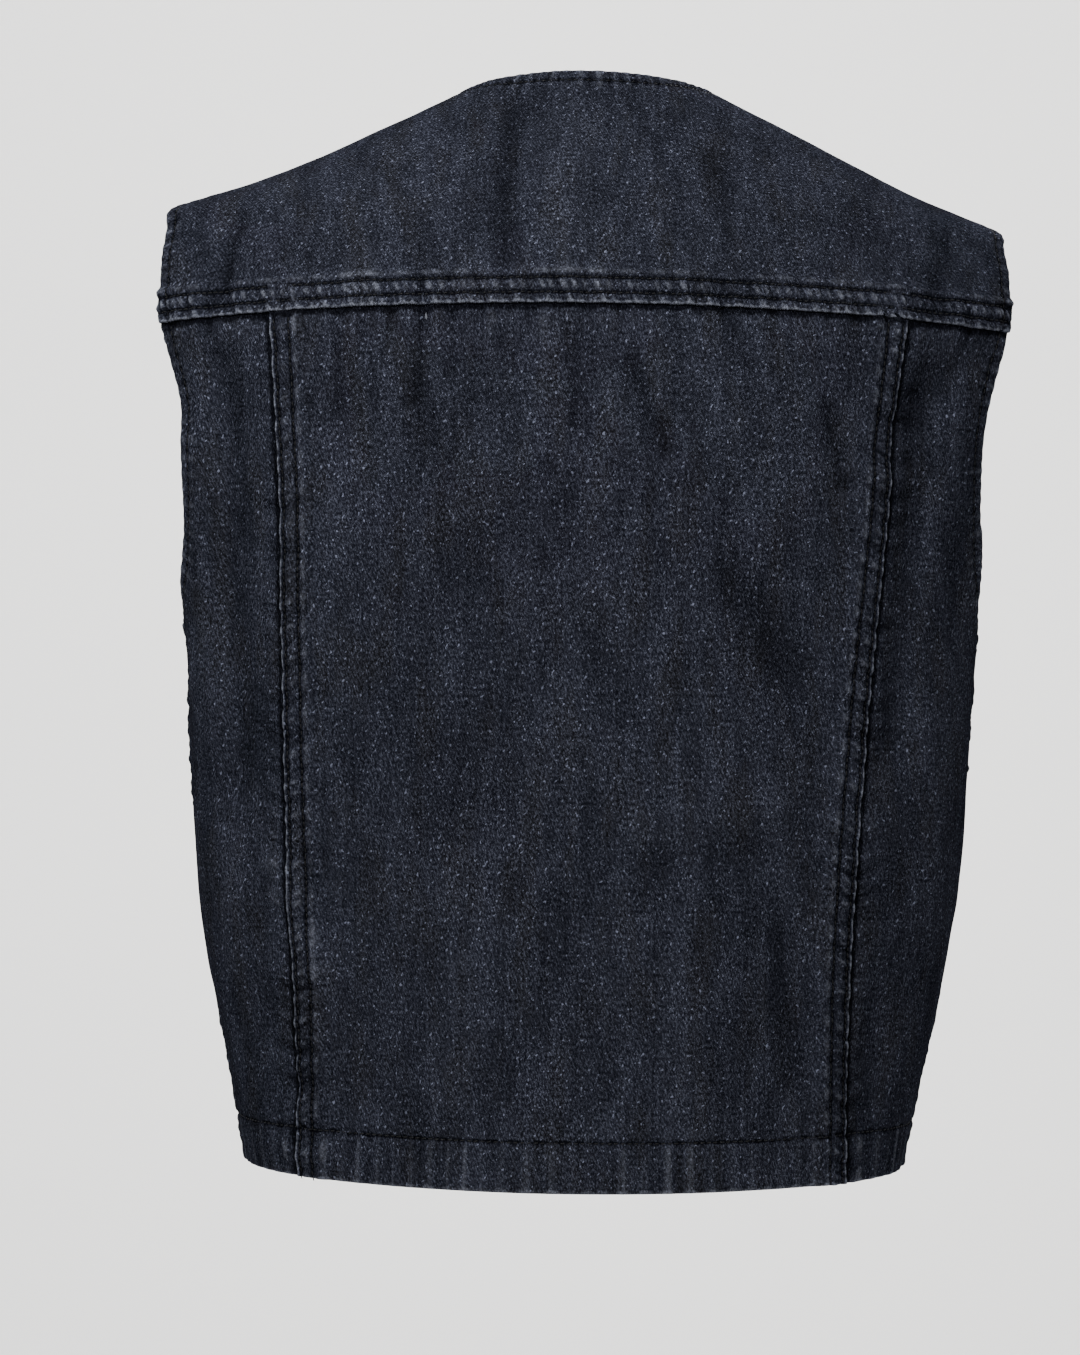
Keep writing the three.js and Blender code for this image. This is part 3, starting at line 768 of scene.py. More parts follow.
class Relief:
    """A piece's heights over the form, and its rubbing and painted shade, gathered seam by seam
    and edge by edge.
    """

    def __init__(self, piece, q, z):
        cloth = bpy.context.scene.vest_cloth
        self.piece, self.q, self.z = piece, q, z
        self.points = form_point(q, z)
        self.layer, self.lap = cloth.thickness / MM, cloth.lap / MM
        self.turned, self.hem = cloth.turned / MM, cloth.hem / MM
        self.pucker = cloth.pucker / MM
        large, small = fold_heights(q, z, LARGE_FOLDS), fold_heights(q, z, SMALL_FOLDS)
        self.shared = large + small + ripple_heights(self.points)
        self.lift, self.cut, self.rounded = np.zeros((3, len(self.points)))
        self.thick = np.full(len(self.points), self.layer)
        # Painted shading of the folds: their troughs darker and their ridges a touch paler.
        self.wear_and_shade = np.clip(0.05 * large + 0.18 * small, -0.42, 0.11)

    def add_seam(self, number, seam):
        """A seam's puckers and gathers, which both of its pieces share, and the piece's own."""
        distance, along = nearest(seam.line, self.points)
        past = past_seam(seam, self.q, self.z)
        ropes = roping(along + 0.45 * distance, seam.pitch, 10 * number)
        reach = np.where(past > 0, *PUCKER_REACH)
        window = 1 - smooth(distance, 0.4 * reach, reach)
        window = window * (0.45 + 0.55 * bump(distance, sum(seam.rows) / 2, 6.0))
        self.shared += self.pucker * seam.pucker * ropes * window
        gathers = roping(along + 0.2 * distance, GATHER_PITCH * seam.pitch, 400 + 10 * number)
        spread = gathers * (1 - smooth(distance, 3, GATHER_SPREAD * reach))
        self.shared += GATHER_HEIGHT * self.pucker * seam.pucker * spread
        # Painted shading of the gathers: their troughs darker and their crests a touch paler.
        self.wear_and_shade += 0.3 * np.minimum(spread, 0.25)
        if self.piece in seam.over:
            self.add_upper(seam, distance, ropes)
        else:
            self.lift -= (LAYER_GAP + self.layer - self.lap) * smooth(past, -1.6, 0.2)
            # Painted shadow: a dark line on the lower piece where the upper piece's edge overhangs
            # it.
            self.wear_and_shade -= 1.2 * bump(distance, 0, 2.5)
            self.wear_and_shade += 0.22 * bump(distance, 6, 4) * np.clip(ropes, 0, 1)

    def add_upper(self, seam, distance, ropes):
        """The upper piece's raised allowance, folded lip, ladder of stitches and rubbed ridges,
        with shade painted into its stitch grooves and between its puckers.
        """
        low, high = seam.rows
        self.lift += self.lap * (1 - smooth(distance, *SEAM_ALLOWANCE))
        self.cut += sum(groove(distance, row) for row in seam.rows) * (0.85 + 0.3 * ropes)
        ladder = bump(distance, (low + high) / 2, 0.36 * (high - low))
        ridge = bump(distance, high + 3.0, 1.7)
        lip = bump(distance, 0.45 * low, 0.32 * low)
        self.lift += (0.35 + 0.45 * ropes) * ladder + (0.5 + 0.2 * ropes) * ridge + 0.2 * lip
        self.rounded = np.maximum(self.rounded, edge_round(distance, self.layer))
        # Ladder blocks and lip: rubbed pale on the puckers' crests, with painted shade between
        # them where the values go below zero.
        blocks = np.clip(0.25 + ropes, -0.8, 1)
        self.wear_and_shade += 0.85 * bump(distance, 0.5, 0.8) * np.clip(0.75 + 0.4 * ropes, 0.4, 1.0)
        self.wear_and_shade += seam.rub * ladder * blocks + 0.3 * ridge * (0.8 + 0.4 * ropes)
        self.wear_and_shade += 0.65 * seam.rub * lip * np.clip(0.2 + 1.2 * ropes, -0.6, 1.2)
        # Painted shade in the grooves of the stitch rows.
        self.wear_and_shade -= 1.05 * sum(bump(distance, row, 0.88) for row in seam.rows)

    def turn_under(self, distance, depth, softness, thickness):
        """Thicken the cloth as far as it is turned under, and round its edge."""
        folded = 1 - smooth(distance, depth - softness, depth + softness)
        self.thick = np.maximum(self.thick, self.layer + (thickness - self.layer) * folded)
        self.rounded = np.maximum(self.rounded, edge_round(distance, thickness))
        return folded

    def add_edge(self, number, edge):
        """The turned and sewn cloth along the neck, an armhole or the hem."""
        distance, along = nearest(edge.line, self.points)
        ropes = roping(along, edge.pitch, 200 + 10 * number)
        window = 1 - smooth(distance, 0.8 * edge.depth, edge.depth + 8)
        self.shared += self.pucker * edge.pucker * ropes * window
        thickness = self.hem if edge.line == "hem" else self.turned
        self.turn_under(distance, edge.depth, 0.4, thickness)
        self.cut += groove(distance, edge.row) * (0.8 + 0.4 * ropes)
        # A rubbed pale edge and painted shade in the stitch row's groove; then puckers rubbed pale
        # on their crests, with painted shade between them.
        self.wear_and_shade += 0.7 * bump(distance, 0.3, 0.9) - 0.85 * bump(distance, edge.row, 0.8)
        self.wear_and_shade += 0.42 * window * np.clip(ropes, -0.8, 1)

    def add_front_band(self):
        """The wide band turned under down a front, and the lower front's dip under the upper."""
        distance, along = nearest(self.piece.replace("front", "front_edge"), self.points)
        folded = self.turn_under(distance, FRONT_BAND, 0.5, self.hem)
        ropes = roping(along, 7.5, 300)
        self.cut += sum(groove(distance, row) for row in FRONT_ROWS)
        self.shared += 0.6 * self.pucker * ropes * (1 - smooth(distance, 24, 34))
        # A rubbed pale edge and band puckers rubbed pale on their crests, with painted shade
        # between the puckers and in the grooves of the stitch rows.
        self.wear_and_shade += 0.8 * bump(distance, 0.3, 0.9) + 0.25 * folded * np.clip(ropes, -0.7, 1)
        self.wear_and_shade -= 0.6 * sum(bump(distance, row, 0.9) for row in FRONT_ROWS)
        if self.piece == "front_left":
            under = 1 - smooth(self.points[:, 0], UNDERLAP_FROM, UNDERLAP_TO)
            self.lift -= UNDERLAP_INWARD * under


def cloth_layers(piece, q, z):
    """Heights of a piece's outer and inner face over the form, and its rubbing and painted shade,
    at places.
    """
    relief = Relief(piece, q, z)
    for number, seam in enumerate(SEAMS):
        if piece in seam.over + seam.under:
            relief.add_seam(number, seam)
    for number, edge in enumerate(EDGES):
        if piece in edge.pieces:
            relief.add_edge(number, edge)
    if piece.startswith("front"):
        relief.add_front_band()
    base = relief.shared + relief.lift
    outer = base - relief.cut - relief.rounded
    inner = base - relief.thick + np.minimum(relief.rounded, relief.thick / 2)
    return outer, np.minimum(inner, outer - LEAST_WALL), np.clip(relief.wear_and_shade, -1, 1)


# Grids of places over a piece.

def steps_along(total, start, end, step):
    """Distances along an edge, fine near either end where a seam lies."""
    def fine(reach):
        more = np.arange(EDGE_STEPS[-1] + SEAM_STEP, reach, SEAM_STEP)
        return np.concatenate([EDGE_STEPS, more])
    first = fine(start) if start else np.array([0.0])
    last = total - fine(end)[::-1]
    count = max(int(round((last[0] - first[-1]) / step)), 1)
    middle = np.linspace(first[-1], last[0], count + 1)[1:-1]
    return np.concatenate([first, middle, last])


def along_line(line, count):
    """A number of places spaced evenly along a line."""
    return spaced(line, np.linspace(0, line_length(line), count))


def relaxed(grid):
    """A grid whose inner places have been evened out so that no two of its lines cross."""
    grid = grid.copy()
    for _ in range(RELAX_TURNS):
        across = (grid[1:-1, 2:] - grid[1:-1, :-2]) / 2
        down = (grid[2:, 1:-1] - grid[:-2, 1:-1]) / 2
        first = (down * down).sum(-1, keepdims=True)
        second = (across * across).sum(-1, keepdims=True)
        both = (across * down).sum(-1, keepdims=True)
        twist = (grid[2:, 2:] - grid[2:, :-2] - grid[:-2, 2:] + grid[:-2, :-2]) / 4
        beside = first * (grid[1:-1, 2:] + grid[1:-1, :-2])
        above = second * (grid[2:, 1:-1] + grid[:-2, 1:-1])
        grid[1:-1, 1:-1] = (beside + above - 2 * both * twist) / (2 * (first + second))
    return grid


def resampled(values, count):
    """Rows of values drawn out to a larger number of rows, smoothly."""
    at = np.linspace(0, len(values) - 1, count)
    i = np.clip(at.astype(int), 0, len(values) - 2)
    t = (at - i)[:, None, None]
    before, after = np.maximum(i - 1, 0), np.minimum(i + 2, len(values) - 1)
    a, b, c, d = values[before], values[i], values[i + 1], values[after]
    return b + t * ((c - a) / 2 + t * (a - 2.5 * b + 2 * c - d / 2 + t * (
        1.5 * (b - c) + (d - a) / 2)))


# How much of a narrow row its two fine ends may take, and how far into a piece its first and last
# rows still draw those beside them.
NARROW_SHARE = 0.8
END_FADE = 5.0


def patch(left, right, top, bottom):
    """A smooth grid of places between four lines, with a row for each place on the left one."""
    count = len(left)
    pick = np.round(np.linspace(0, count - 1, COARSE_ROWS)).astype(int)
    fine_left, fine_right = flattened(left), flattened(right)
    a, b = fine_left[pick][:, None], fine_right[pick][:, None]
    c = flattened(along_line(top, COARSE_COLUMNS))[None]
    d = flattened(along_line(bottom, COARSE_COLUMNS))[None]
    u = np.linspace(0, 1, COARSE_COLUMNS)[None, :, None]
    v = np.linspace(0, 1, COARSE_ROWS)[:, None, None]
    corners = ((1 - u) * (1 - v) * a[:1] + u * (1 - v) * b[:1]
               + (1 - u) * v * a[-1:] + u * v * b[-1:])
    grid = (1 - u) * a + u * b + (1 - v) * c + v * d - corners
    curve = resampled(relaxed(grid), count)
    curve = (curve + (1 - u) * (fine_left - curve[:, 0])[:, None]
             + u * (fine_right - curve[:, -1])[:, None])
    return raised(curve)


def grid_between(left, right, top, bottom, start, end):
    """Places over a piece: a row from each place on its left edge to the one on its right.

    Rows are fine near the two edges for the distances start and end. top and bottom are the
    lines that the first and last row have to follow.
    """
    curve = patch(left, right, top, bottom)
    count = len(left)
    points = form_point(curve[..., 0], curve[..., 1])
    lengths = np.linalg.norm(np.diff(points, axis=1), axis=2)
    reach = np.concatenate([np.zeros((count, 1)), np.cumsum(lengths, axis=1)], axis=1)
    widest = float(np.max(reach[:, -1]))
    template = steps_along(widest, start, end, WIDE_STEP)
    first_count = int((template <= start).sum())
    last_count = int((template >= widest - end).sum())
    low, high = first_count - 1, len(template) - last_count
    inner = np.linspace(0, 1, high - low + 1)
    places = np.empty((count, len(template), 2))
    for i in range(count):
        total = reach[i, -1]
        shrink = min(1.0, NARROW_SHARE * total / (start + end))
        distances = template.copy()
        distances[:first_count] *= shrink
        distances[-last_count:] = total - (widest - template[-last_count:]) * shrink
        distances[low:high + 1] = distances[low] + (distances[high] - distances[low]) * inner
        for k in range(2):
            places[i, :, k] = np.interp(distances, reach[i], curve[i, :, k])
    down = line_reach(line_points(left))
    for line, row, away in ((top, 0, down), (bottom, -1, down[-1] - down)):
        own = line_reach(line_points(places[row]))
        shift = spaced(line, own / own[-1] * line_length(line)) - places[row]
        places = places + np.exp(-away / END_FADE)[:, None, None] * shift[None]
    return places


# Flat size and area of each piece with what is tucked under, in metres.
Cut = namedtuple("Cut", "width length area")


def denim_piece(name, places):
    """A closed wall of cloth over a grid of places, in its finish."""
    q, z = places[..., 0].ravel(), places[..., 1].ravel()
    outer, inner, wear_and_shade = cloth_layers(name, q, z)
    points, outward = form_point(q, z), form_outward(q, z)
    verts = np.concatenate([points + outward * height[:, None] for height in (outer, inner)])
    faces, inside_from = wall_faces(places.shape[:2], points, outward)
    mesh = bpy.data.meshes.new(name)
    mesh.from_pydata((verts * MM).tolist(), [], faces)
    piece = bpy.data.objects.new(name + "_cloth", mesh)
    bpy.context.scene.collection.objects.link(piece)
    # Rubbing and painted shade, weaker on the inner face.
    attribute = mesh.attributes.new("wear_and_shade", "FLOAT", "POINT")
    attribute.data.foreach_set("value", np.concatenate([wear_and_shade, wear_and_shade * 0.4]).astype(np.float32))
    loops = np.empty(len(mesh.loops), int)
    mesh.loops.foreach_get("vertex_index", loops)
    flat = np.tile(cloth_map(name, q, z, points), (2, 1)) * MM
    layer = mesh.uv_layers.new(name="cloth")
    layer.data.foreach_set("uv", flat[loops].astype(np.float32).ravel())
    mesh.materials.append(finish("denim"))
    mesh.materials.append(finish("denim_inside"))
    slots = np.zeros(len(faces), int)
    slots[inside_from:] = 1
    mesh.polygons.foreach_set("material_index", slots)
    mesh.polygons.foreach_set("use_smooth", np.ones(len(faces), bool))
    mesh.update()
    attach(piece, ROOT)
    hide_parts(name)


def cloth_map(name, q, z, points):
    """Where places of a piece lie on flat cloth, across and up, in millimetres."""
    if name == "yoke":
        return places_at(points[:, 0], z - 0.8 * points[:, 1])
    if name.startswith("front"):
        return places_at((q - np.sign(q)) * half_length(z), z + 0.5 * points[:, 1])
    return places_at(q * half_length(z), z)


def wall_faces(shape, points, outward):
    """Faces of a wall over a grid: outer face, rim and inner face, and where the last begins."""
    rows, columns = shape
    index = np.arange(rows * columns).reshape(rows, columns)
    quads = np.stack([index[:-1, :-1], index[1:, :-1], index[1:, 1:], index[:-1, 1:]], -1)
    quads = quads.reshape(-1, 4)
    rim = np.concatenate([index[0, :-1], index[:-1, -1], index[-1, :0:-1], index[:0:-1, 0]])
    after = np.roll(rim, -1)
    walls = np.stack([rim, after, after + rows * columns, rim + rows * columns], -1)
    faces = [tuple(face) for face in np.concatenate([quads, walls]).tolist()]
    inside_from = len(faces)
    faces += inner_faces(index + rows * columns)
    if wall_volume(points, outward, quads) < 0:
        faces = [face[::-1] for face in faces]
    return faces, inside_from


def wall_volume(points, outward, quads):
    """Above zero where the quads of the outer face turn the right way."""
    a, b, d = points[quads[:, 0]], points[quads[:, 1]], points[quads[:, 3]]
    return float((np.cross(b - a, d - a) * outward[quads[:, 0]]).sum())


def inner_faces(index):
    """Faces over a grid of vertices that take every second row and column but all the rim."""
    rows, columns = index.shape
    down = list(range(0, rows - 1, 2)) + [rows - 1]
    across = list(range(0, columns - 1, 2)) + [columns - 1]
    faces = []
    for i, below in zip(down, down[1:]):
        for j, beside in zip(across, across[1:]):
            face = [index[i, j]]
            if i == 0:
                face.extend(index[i, j + 1:beside])
            face.append(index[i, beside])
            if beside == columns - 1:
                face.extend(index[i + 1:below, beside])
            face.append(index[below, beside])
            if below == rows - 1:
                face.extend(index[below, beside - 1:j:-1])
            face.append(index[below, j])
            if j == 0:
                face.extend(index[below - 1:i:-1, j])
            faces.append(tuple(int(vertex) for vertex in face))
    return faces


def rows_down(line):
    """The shares of a line at which a piece's rows begin, fine towards the hem."""
    total = line_length(line)
    return steps_along(total, 0, HEM_REACH, DOWN_STEP) / total


def at_shares(line, shares):
    """The places at shares of a line's length."""
    return spaced(line, shares * line_length(line))


def to_hem(line):
    """A line whose last place is put on the hem."""
    line[-1, 1] = hem_z(line[-1, 0])
    return line


def outer_edge(first_angle, seam_y):
    """Down the armhole, then down a side seam, on the left, and how far the seam begins."""
    last_angle = math.pi - math.asin(seam_y / ARMHOLE_FRONT)
    armhole = armhole_edge(np.linspace(first_angle, last_angle, 200))
    seam = downwards(lambda z: share_at_y(z, seam_y), armhole[-1, 1], HEM_SIDES, 160)
    line = even(joined(armhole, to_hem(seam)), 1.0)
    return line, line_length(armhole) / line_length(line)


# Rows on either side over which a turn between two edges' rows is evened out.
EVENED = 20


def matched(outer, corner, inner, inner_corner_z):
    """Places down both edges of a piece, whose rows turn the corner at the underarm."""
    shares = rows_down(outer)
    depth = line_reach(line_points(inner))
    inner_corner = np.interp(-inner_corner_z, -inner[:, 1], depth) / depth[-1]
    inner_shares = np.interp(shares, (0, corner, 1), (0, inner_corner, 1))
    kernel = np.hanning(2 * EVENED + 3)[1:-1]
    kernel /= kernel.sum()
    before = 2 * inner_shares[0] - inner_shares[EVENED:0:-1]
    after = 2 * inner_shares[-1] - inner_shares[-2:-EVENED - 2:-1]
    inner_shares = np.convolve(np.concatenate([before, inner_shares, after]), kernel, "valid")
    ended(inner_shares, 0, 1)
    return at_shares(outer, shares), at_shares(inner, inner_shares)


# Finishes.

class Nodes:
    """A material's nodes, made and linked in a few words each."""

    def __init__(self, name):
        self.made = bpy.data.materials.new(name)
        self.made.use_nodes = True
        self.nodes = self.made.node_tree.nodes
        self.links = self.made.node_tree.links
        self.nodes.clear()
        self.shader = self.nodes.new("ShaderNodeBsdfPrincipled")
        out = self.nodes.new("ShaderNodeOutputMaterial")
        self.links.new(self.shader.outputs["BSDF"], out.inputs["Surface"])

    def put(self, value, socket):
        """Link a socket or set a plain value."""
        if isinstance(value, bpy.types.NodeSocket):
            self.links.new(value, socket)
        elif socket.type == "RGBA":
            socket.default_value = (*value, 1)
        else:
            socket.default_value = value

    def node(self, kind, sockets, **settings):
        """A new node with its settings, and the values or links of its sockets."""
        node = self.nodes.new("ShaderNode" + kind)
        for name, value in settings.items():
            setattr(node, name, value)
        for name, value in sockets.items():
            self.put(value, node.inputs[name])
        return node

    def scaled(self, vector, x, y, angle=0.0):
        """Coordinates turned and then stretched."""
        turn = self.node("Mapping", {"Rotation": (0, 0, angle), "Vector": vector})
        stretch = self.node("Mapping", {"Scale": (x, y, 1), "Vector": turn.outputs["Vector"]})
        return stretch.outputs["Vector"]

    def noise(self, vector, detail=1.0, roughness=0.5, dimensions="2D", scale=1.0):
        """Soft noise over coordinates."""
        return self.node("TexNoise", {"Scale": scale, "Detail": detail, "Roughness": roughness,
                                      "Vector": vector},
                         noise_dimensions=dimensions).outputs["Fac"]

    def ramp(self, value, low, high, to_low=0.0, to_high=1.0):
        """A soft step of a value from one bound to the other."""
        return self.node("MapRange", {"From Min": low, "From Max": high, "To Min": to_low,
                                      "To Max": to_high, "Value": value},
                         interpolation_type="SMOOTHSTEP").outputs["Result"]

    def maths(self, kind, a, b):
        """Two values added, multiplied or compared."""
        return self.node("Math", {0: a, 1: b}, operation=kind).outputs["Value"]

    def times(self, value, *others):
        """The product of values."""
        for other in others:
            value = self.maths("MULTIPLY", value, other)
        return value

    def mix(self, amount, a, b):
        """A colour between two."""
        return self.node("Mix", {0: amount, 6: a, 7: b}, data_type="RGBA").outputs[2]

    def relief(self, height, distance, strength):
        """Fine relief on the shader."""
        bump_node = self.node("Bump", {"Strength": strength, "Distance": distance,
                                       "Height": height})
        self.links.new(bump_node.outputs["Normal"], self.shader.inputs["Normal"])


def brighter(colour, factor):
    """A colour with each of its parts raised by a factor."""
    return tuple(factor * part for part in colour)


def build_denim(name, inside):
    """Washed twill: dyed warp, paler flecks, steep ribs, rubbing on the seams, and painted shade
    in their grooves and in the troughs of folds.
    """
    colours = bpy.context.scene.vest_colours
    to = Nodes(name)
    to.shader.inputs["Roughness"].default_value = 0.95
    to.shader.inputs["Specular IOR Level"].default_value = 0
    uv = to.nodes.new("ShaderNodeUVMap")
    uv.uv_map = "cloth"
    flat = uv.outputs["UV"]

    # The yarns: a grain of short upright flecks, crossed by faint weft and by steep ribs.
    grain = to.noise(to.scaled(flat, 820, 600), 3.0, 0.8)
    flecks = to.ramp(grain, 0.41, 0.72)
    mottle = to.ramp(to.noise(to.scaled(flat, 230, 105), 3.0, 0.6), 0.30, 0.70, 0.62, 1.15)
    sparks = to.ramp(to.noise(to.scaled(flat, 620, 430, -0.45), 1.0), 0.71, 0.78)
    slubs = to.ramp(to.noise(to.scaled(flat, 420, 34), 2.0), 0.42, 0.72)
    wefts = to.ramp(to.noise(to.scaled(flat, 30, 640), 1.0), 0.42, 0.66)
    rib = to.node("TexWave", {"Scale": 1, "Distortion": 1.6, "Detail": 2,
                              "Vector": to.scaled(flat, 260, 260, math.radians(22))},
                  bands_direction="X").outputs["Fac"]

    # The wash: broad upright streaks and cloudy patches, and a slow shift from blue to black.
    streaks = to.ramp(to.noise(to.scaled(flat, 70, 17), 4.0, 0.6), 0.32, 0.70)
    clouds = to.ramp(to.noise(to.scaled(flat, 34, 16), 5.0, 0.68), 0.28, 0.72)
    warm = to.ramp(to.noise(to.scaled(flat, 60, 16), 3.0, 0.6), 0.46, 0.7)
    wash = to.maths("ADD", to.times(streaks, 0.5), to.times(clouds, 0.5))

    # The rubbing and painted shade that the mesh carries: rubbed pale where it is above zero;
    # below zero, painted shade in stitch grooves, under lapped edges and in the troughs of folds
    # and puckers.
    worn = to.nodes.new("ShaderNodeAttribute")
    worn.attribute_name = "wear_and_shade"
    rubbed = to.times(to.ramp(worn.outputs["Fac"], 0.05, 0.8),
                      to.ramp(grain, 0.34, 0.62, 0.3, 1.0))
    # Painted shade where the mesh's values fall below zero.
    painted_shade = to.ramp(worn.outputs["Fac"], -0.7, -0.04, 1.0, 0.0)

    base = colours.inside[:] if inside else colours.warp[:]
    pale = brighter(base, 2.2) if inside else colours.fleck[:]
    brown = (base[0] * 0.95, base[1] * 0.82, base[2] * 0.56)
    ground = to.mix(wash, brighter(base, 0.6), brighter(base, 1.4))
    ground = to.mix(to.times(warm, 0.7), ground, brown)
    share = to.times(flecks, to.ramp(wash, 0.1, 0.9, 0.5, 0.9),
                     to.ramp(rib, 0.1, 0.8, 0.5, 1.0), mottle)
    colour = to.mix(share, ground, pale)
    colour = to.mix(to.maths("MAXIMUM", to.times(slubs, 0.06), to.times(wefts, 0.05)), colour,
                    pale)
    colour = to.mix(to.times(sparks, to.ramp(wash, 0, 1, 0.35, 0.65)), colour,
                    brighter(pale, 2.4))
    colour = to.mix(to.times(rubbed, 0.72), colour, colours.worn[:])
    # Painted shade: near black, a sixth of the dye's colour.
    colour = to.mix(to.times(painted_shade, 0.82), colour, brighter(base, 0.16))
    to.put(colour, to.shader.inputs["Base Color"])
    to.relief(to.maths("ADD", to.times(rib, 0.5), to.times(grain, 0.6)), 0.00035, 0.8)
    return to.made


def build_thread(name):
    """Twisted sewing thread, nearly black."""
    colours = bpy.context.scene.vest_colours
    to = Nodes(name)
    to.shader.inputs["Roughness"].default_value = 0.7
    to.shader.inputs["Specular IOR Level"].default_value = 0.2
    place = to.nodes.new("ShaderNodeTexCoord")
    fuzz = to.noise(place.outputs["Object"], 1.0, 0.5, "3D", 2400.0)
    dark = colours.thread[:]
    to.put(to.mix(to.ramp(fuzz, 0.4, 0.7), dark, brighter(dark, 3.0)),
           to.shader.inputs["Base Color"])
    to.relief(fuzz, 0.0002, 0.5)
    return to.made


def build_metal(name):
    """Aged dark metal, stained in places."""
    colours = bpy.context.scene.vest_colours
    to = Nodes(name)
    to.shader.inputs["Metallic"].default_value = 0.9
    place = to.nodes.new("ShaderNodeTexCoord")
    stain = to.noise(place.outputs["Object"], 4.0, 0.6, "3D", 420.0)
    metal = colours.metal[:]
    to.put(to.mix(to.ramp(stain, 0.3, 0.7), brighter(metal, 0.14), brighter(metal, 0.5)),
           to.shader.inputs["Base Color"])
    to.put(to.ramp(stain, 0.2, 0.8, 0.30, 0.55), to.shader.inputs["Roughness"])
    return to.made


def finish(name):
    """The finish of that name, made the first time that it is asked for."""
    own = "vest_" + name
    if own not in bpy.data.materials:
        if name.startswith("denim"):
            build_denim(own, name.endswith("inside"))
        elif name == "thread":
            build_thread(own)
        else:
            build_metal(own)
    return bpy.data.materials[own]


# Stitches: how far one drifts along its row, in millimetres, and how they slant.
STITCH_DRIFT = 0.08
STITCH_SLANT = (0.10, 0.06)


def stitch_shape(length, width):
    """One stitch along X: rings of six points that dip at both ends."""
    # Each ring's place as a share of the length, and its size and rise as shares of the width.
    rings = ((-0.5, 0.35, -0.45), (-0.3, 0.9, 0.0), (0.0, 1.0, 0.14), (0.3, 0.9, 0.0),
             (0.5, 0.35, -0.45))
    verts = []
    for along, size, rise in rings:
        for k in range(6):
            turn = math.pi * k / 3
            verts.append((along * length, 0.5 * width * size * math.cos(turn),
                          width * (0.38 * size * math.sin(turn) + rise)))
    faces = []
    for ring in range(len(rings) - 1):
        for k in range(6):
            a, b = 6 * ring + k, 6 * ring + (k + 1) % 6
            faces.append((a, b, b + 6, a + 6))
    faces.append(tuple(range(5, -1, -1)))
    faces.append(tuple(range(6 * len(rings) - 6, 6 * len(rings))))
    return np.array(verts), faces


def stitch_row(piece, line, distance, trim, seed):
    """Stitches beside a named line: middles, directions and outward directions."""
    return stitch_places(piece, nudged(LINES[line], distance), trim, seed)


def stitch_places(piece, line, trim, seed):
    """Where each stitch of a row lies on a piece, in millimetres."""
    cloth = bpy.context.scene.vest_cloth
    places = even(line, 0.8)
    q, z = places[:, 0], places[:, 1]
    outer = cloth_layers(piece, q, z)[0]
    points = form_point(q, z) + form_outward(q, z) * outer[:, None]
    reach = line_reach(points)
    pitch = cloth.stitch / MM
    starts = np.arange(trim[0] + pitch / 2, reach[-1] - trim[1] - pitch / 2, pitch)
    random = np.random.default_rng(SEED + int(10 * abs(seed)))
    starts = starts + random.normal(0, STITCH_DRIFT, len(starts))
    slant = random.normal(*STITCH_SLANT, len(starts))

    def at(reaches):
        return np.stack([np.interp(reaches, reach, points[:, k]) for k in range(3)], -1)

    middles = at(starts)
    along = unit(at(starts + 1.2) - at(starts - 1.2))
    outward = form_outward(np.interp(starts, reach, q), np.interp(starts, reach, z))
    sideways = unit(np.cross(outward, along))
    along = unit(along + sideways * slant[:, None])
    return middles, along, unit(np.cross(along, sideways))


def between(line, low, high):
    """The part of a line whose shares lie between two values, in the line's own order."""
    kept = (line[:, 0] > low) & (line[:, 0] < high)
    return line[kept]


def hem_stitches():
    """The hem's row, piece by piece, from the right front edge round to the left."""
    row = nudged(LINES["hem"], -HEM_BAND)
    z = HEM_SIDES + HEM_BAND
    back = {word: seam_share("back_seam_" + word, z) for _, word in SIDES}
    side = {word: seam_share("side_seam_" + word, z) for _, word in SIDES}
    lap = FRONT_LAP / float(half_length(z))
    spans = (("front_right", -1 - lap, -side["right"]),
             ("back_side_right", -side["right"], -back["right"]),
             ("back_center", -back["right"], back["left"]),
             ("back_side_left", back["left"], side["left"]),
             ("front_left", side["left"], 1 - lap))
    return [stitch_places(piece, between(row, low, high), (0.6, 0.6), 70 + k)
            for k, (piece, low, high) in enumerate(spans)]


def neck_stitches():
    """The row round the neck, over the yoke and down both fronts."""
    row = nudged(LINES["neck"], NECK_ROW)
    shoulder = max(place[0] for place in LINES["shoulder_seam_left"])
    lap = FRONT_LAP / float(half_length(NECK_SIDE_Z - NECK_FRONT_DROP))
    spans = (("front_right", -1 - lap, -shoulder), ("yoke", -shoulder, shoulder),
             ("front_left", shoulder, 1 - lap))
    return [stitch_places(piece, between(row, low, high), (0.8, 0.8), 80 + k)
            for k, (piece, low, high) in enumerate(spans)]


def armhole_stitches():
    """The row round each armhole, piece by piece."""
    rows = []
    for side, word in SIDES:
        angles = (2 * math.pi + TIP_SEAM_ANGLE, UNDERARM_ANGLE, YOKE_CORNER, TIP_SEAM_ANGLE)
        pieces = ("front_" + word, "back_side_" + word, "yoke")
        for k, piece in enumerate(pieces):
            edge = armhole_edge(np.linspace(angles[k], angles[k + 1], 160))
            row = sided(nudged(even(edge), -ARMHOLE_ROW), side)
            rows.append(stitch_places(piece, row, (1.5, 1.5), 90 + k))
    return rows


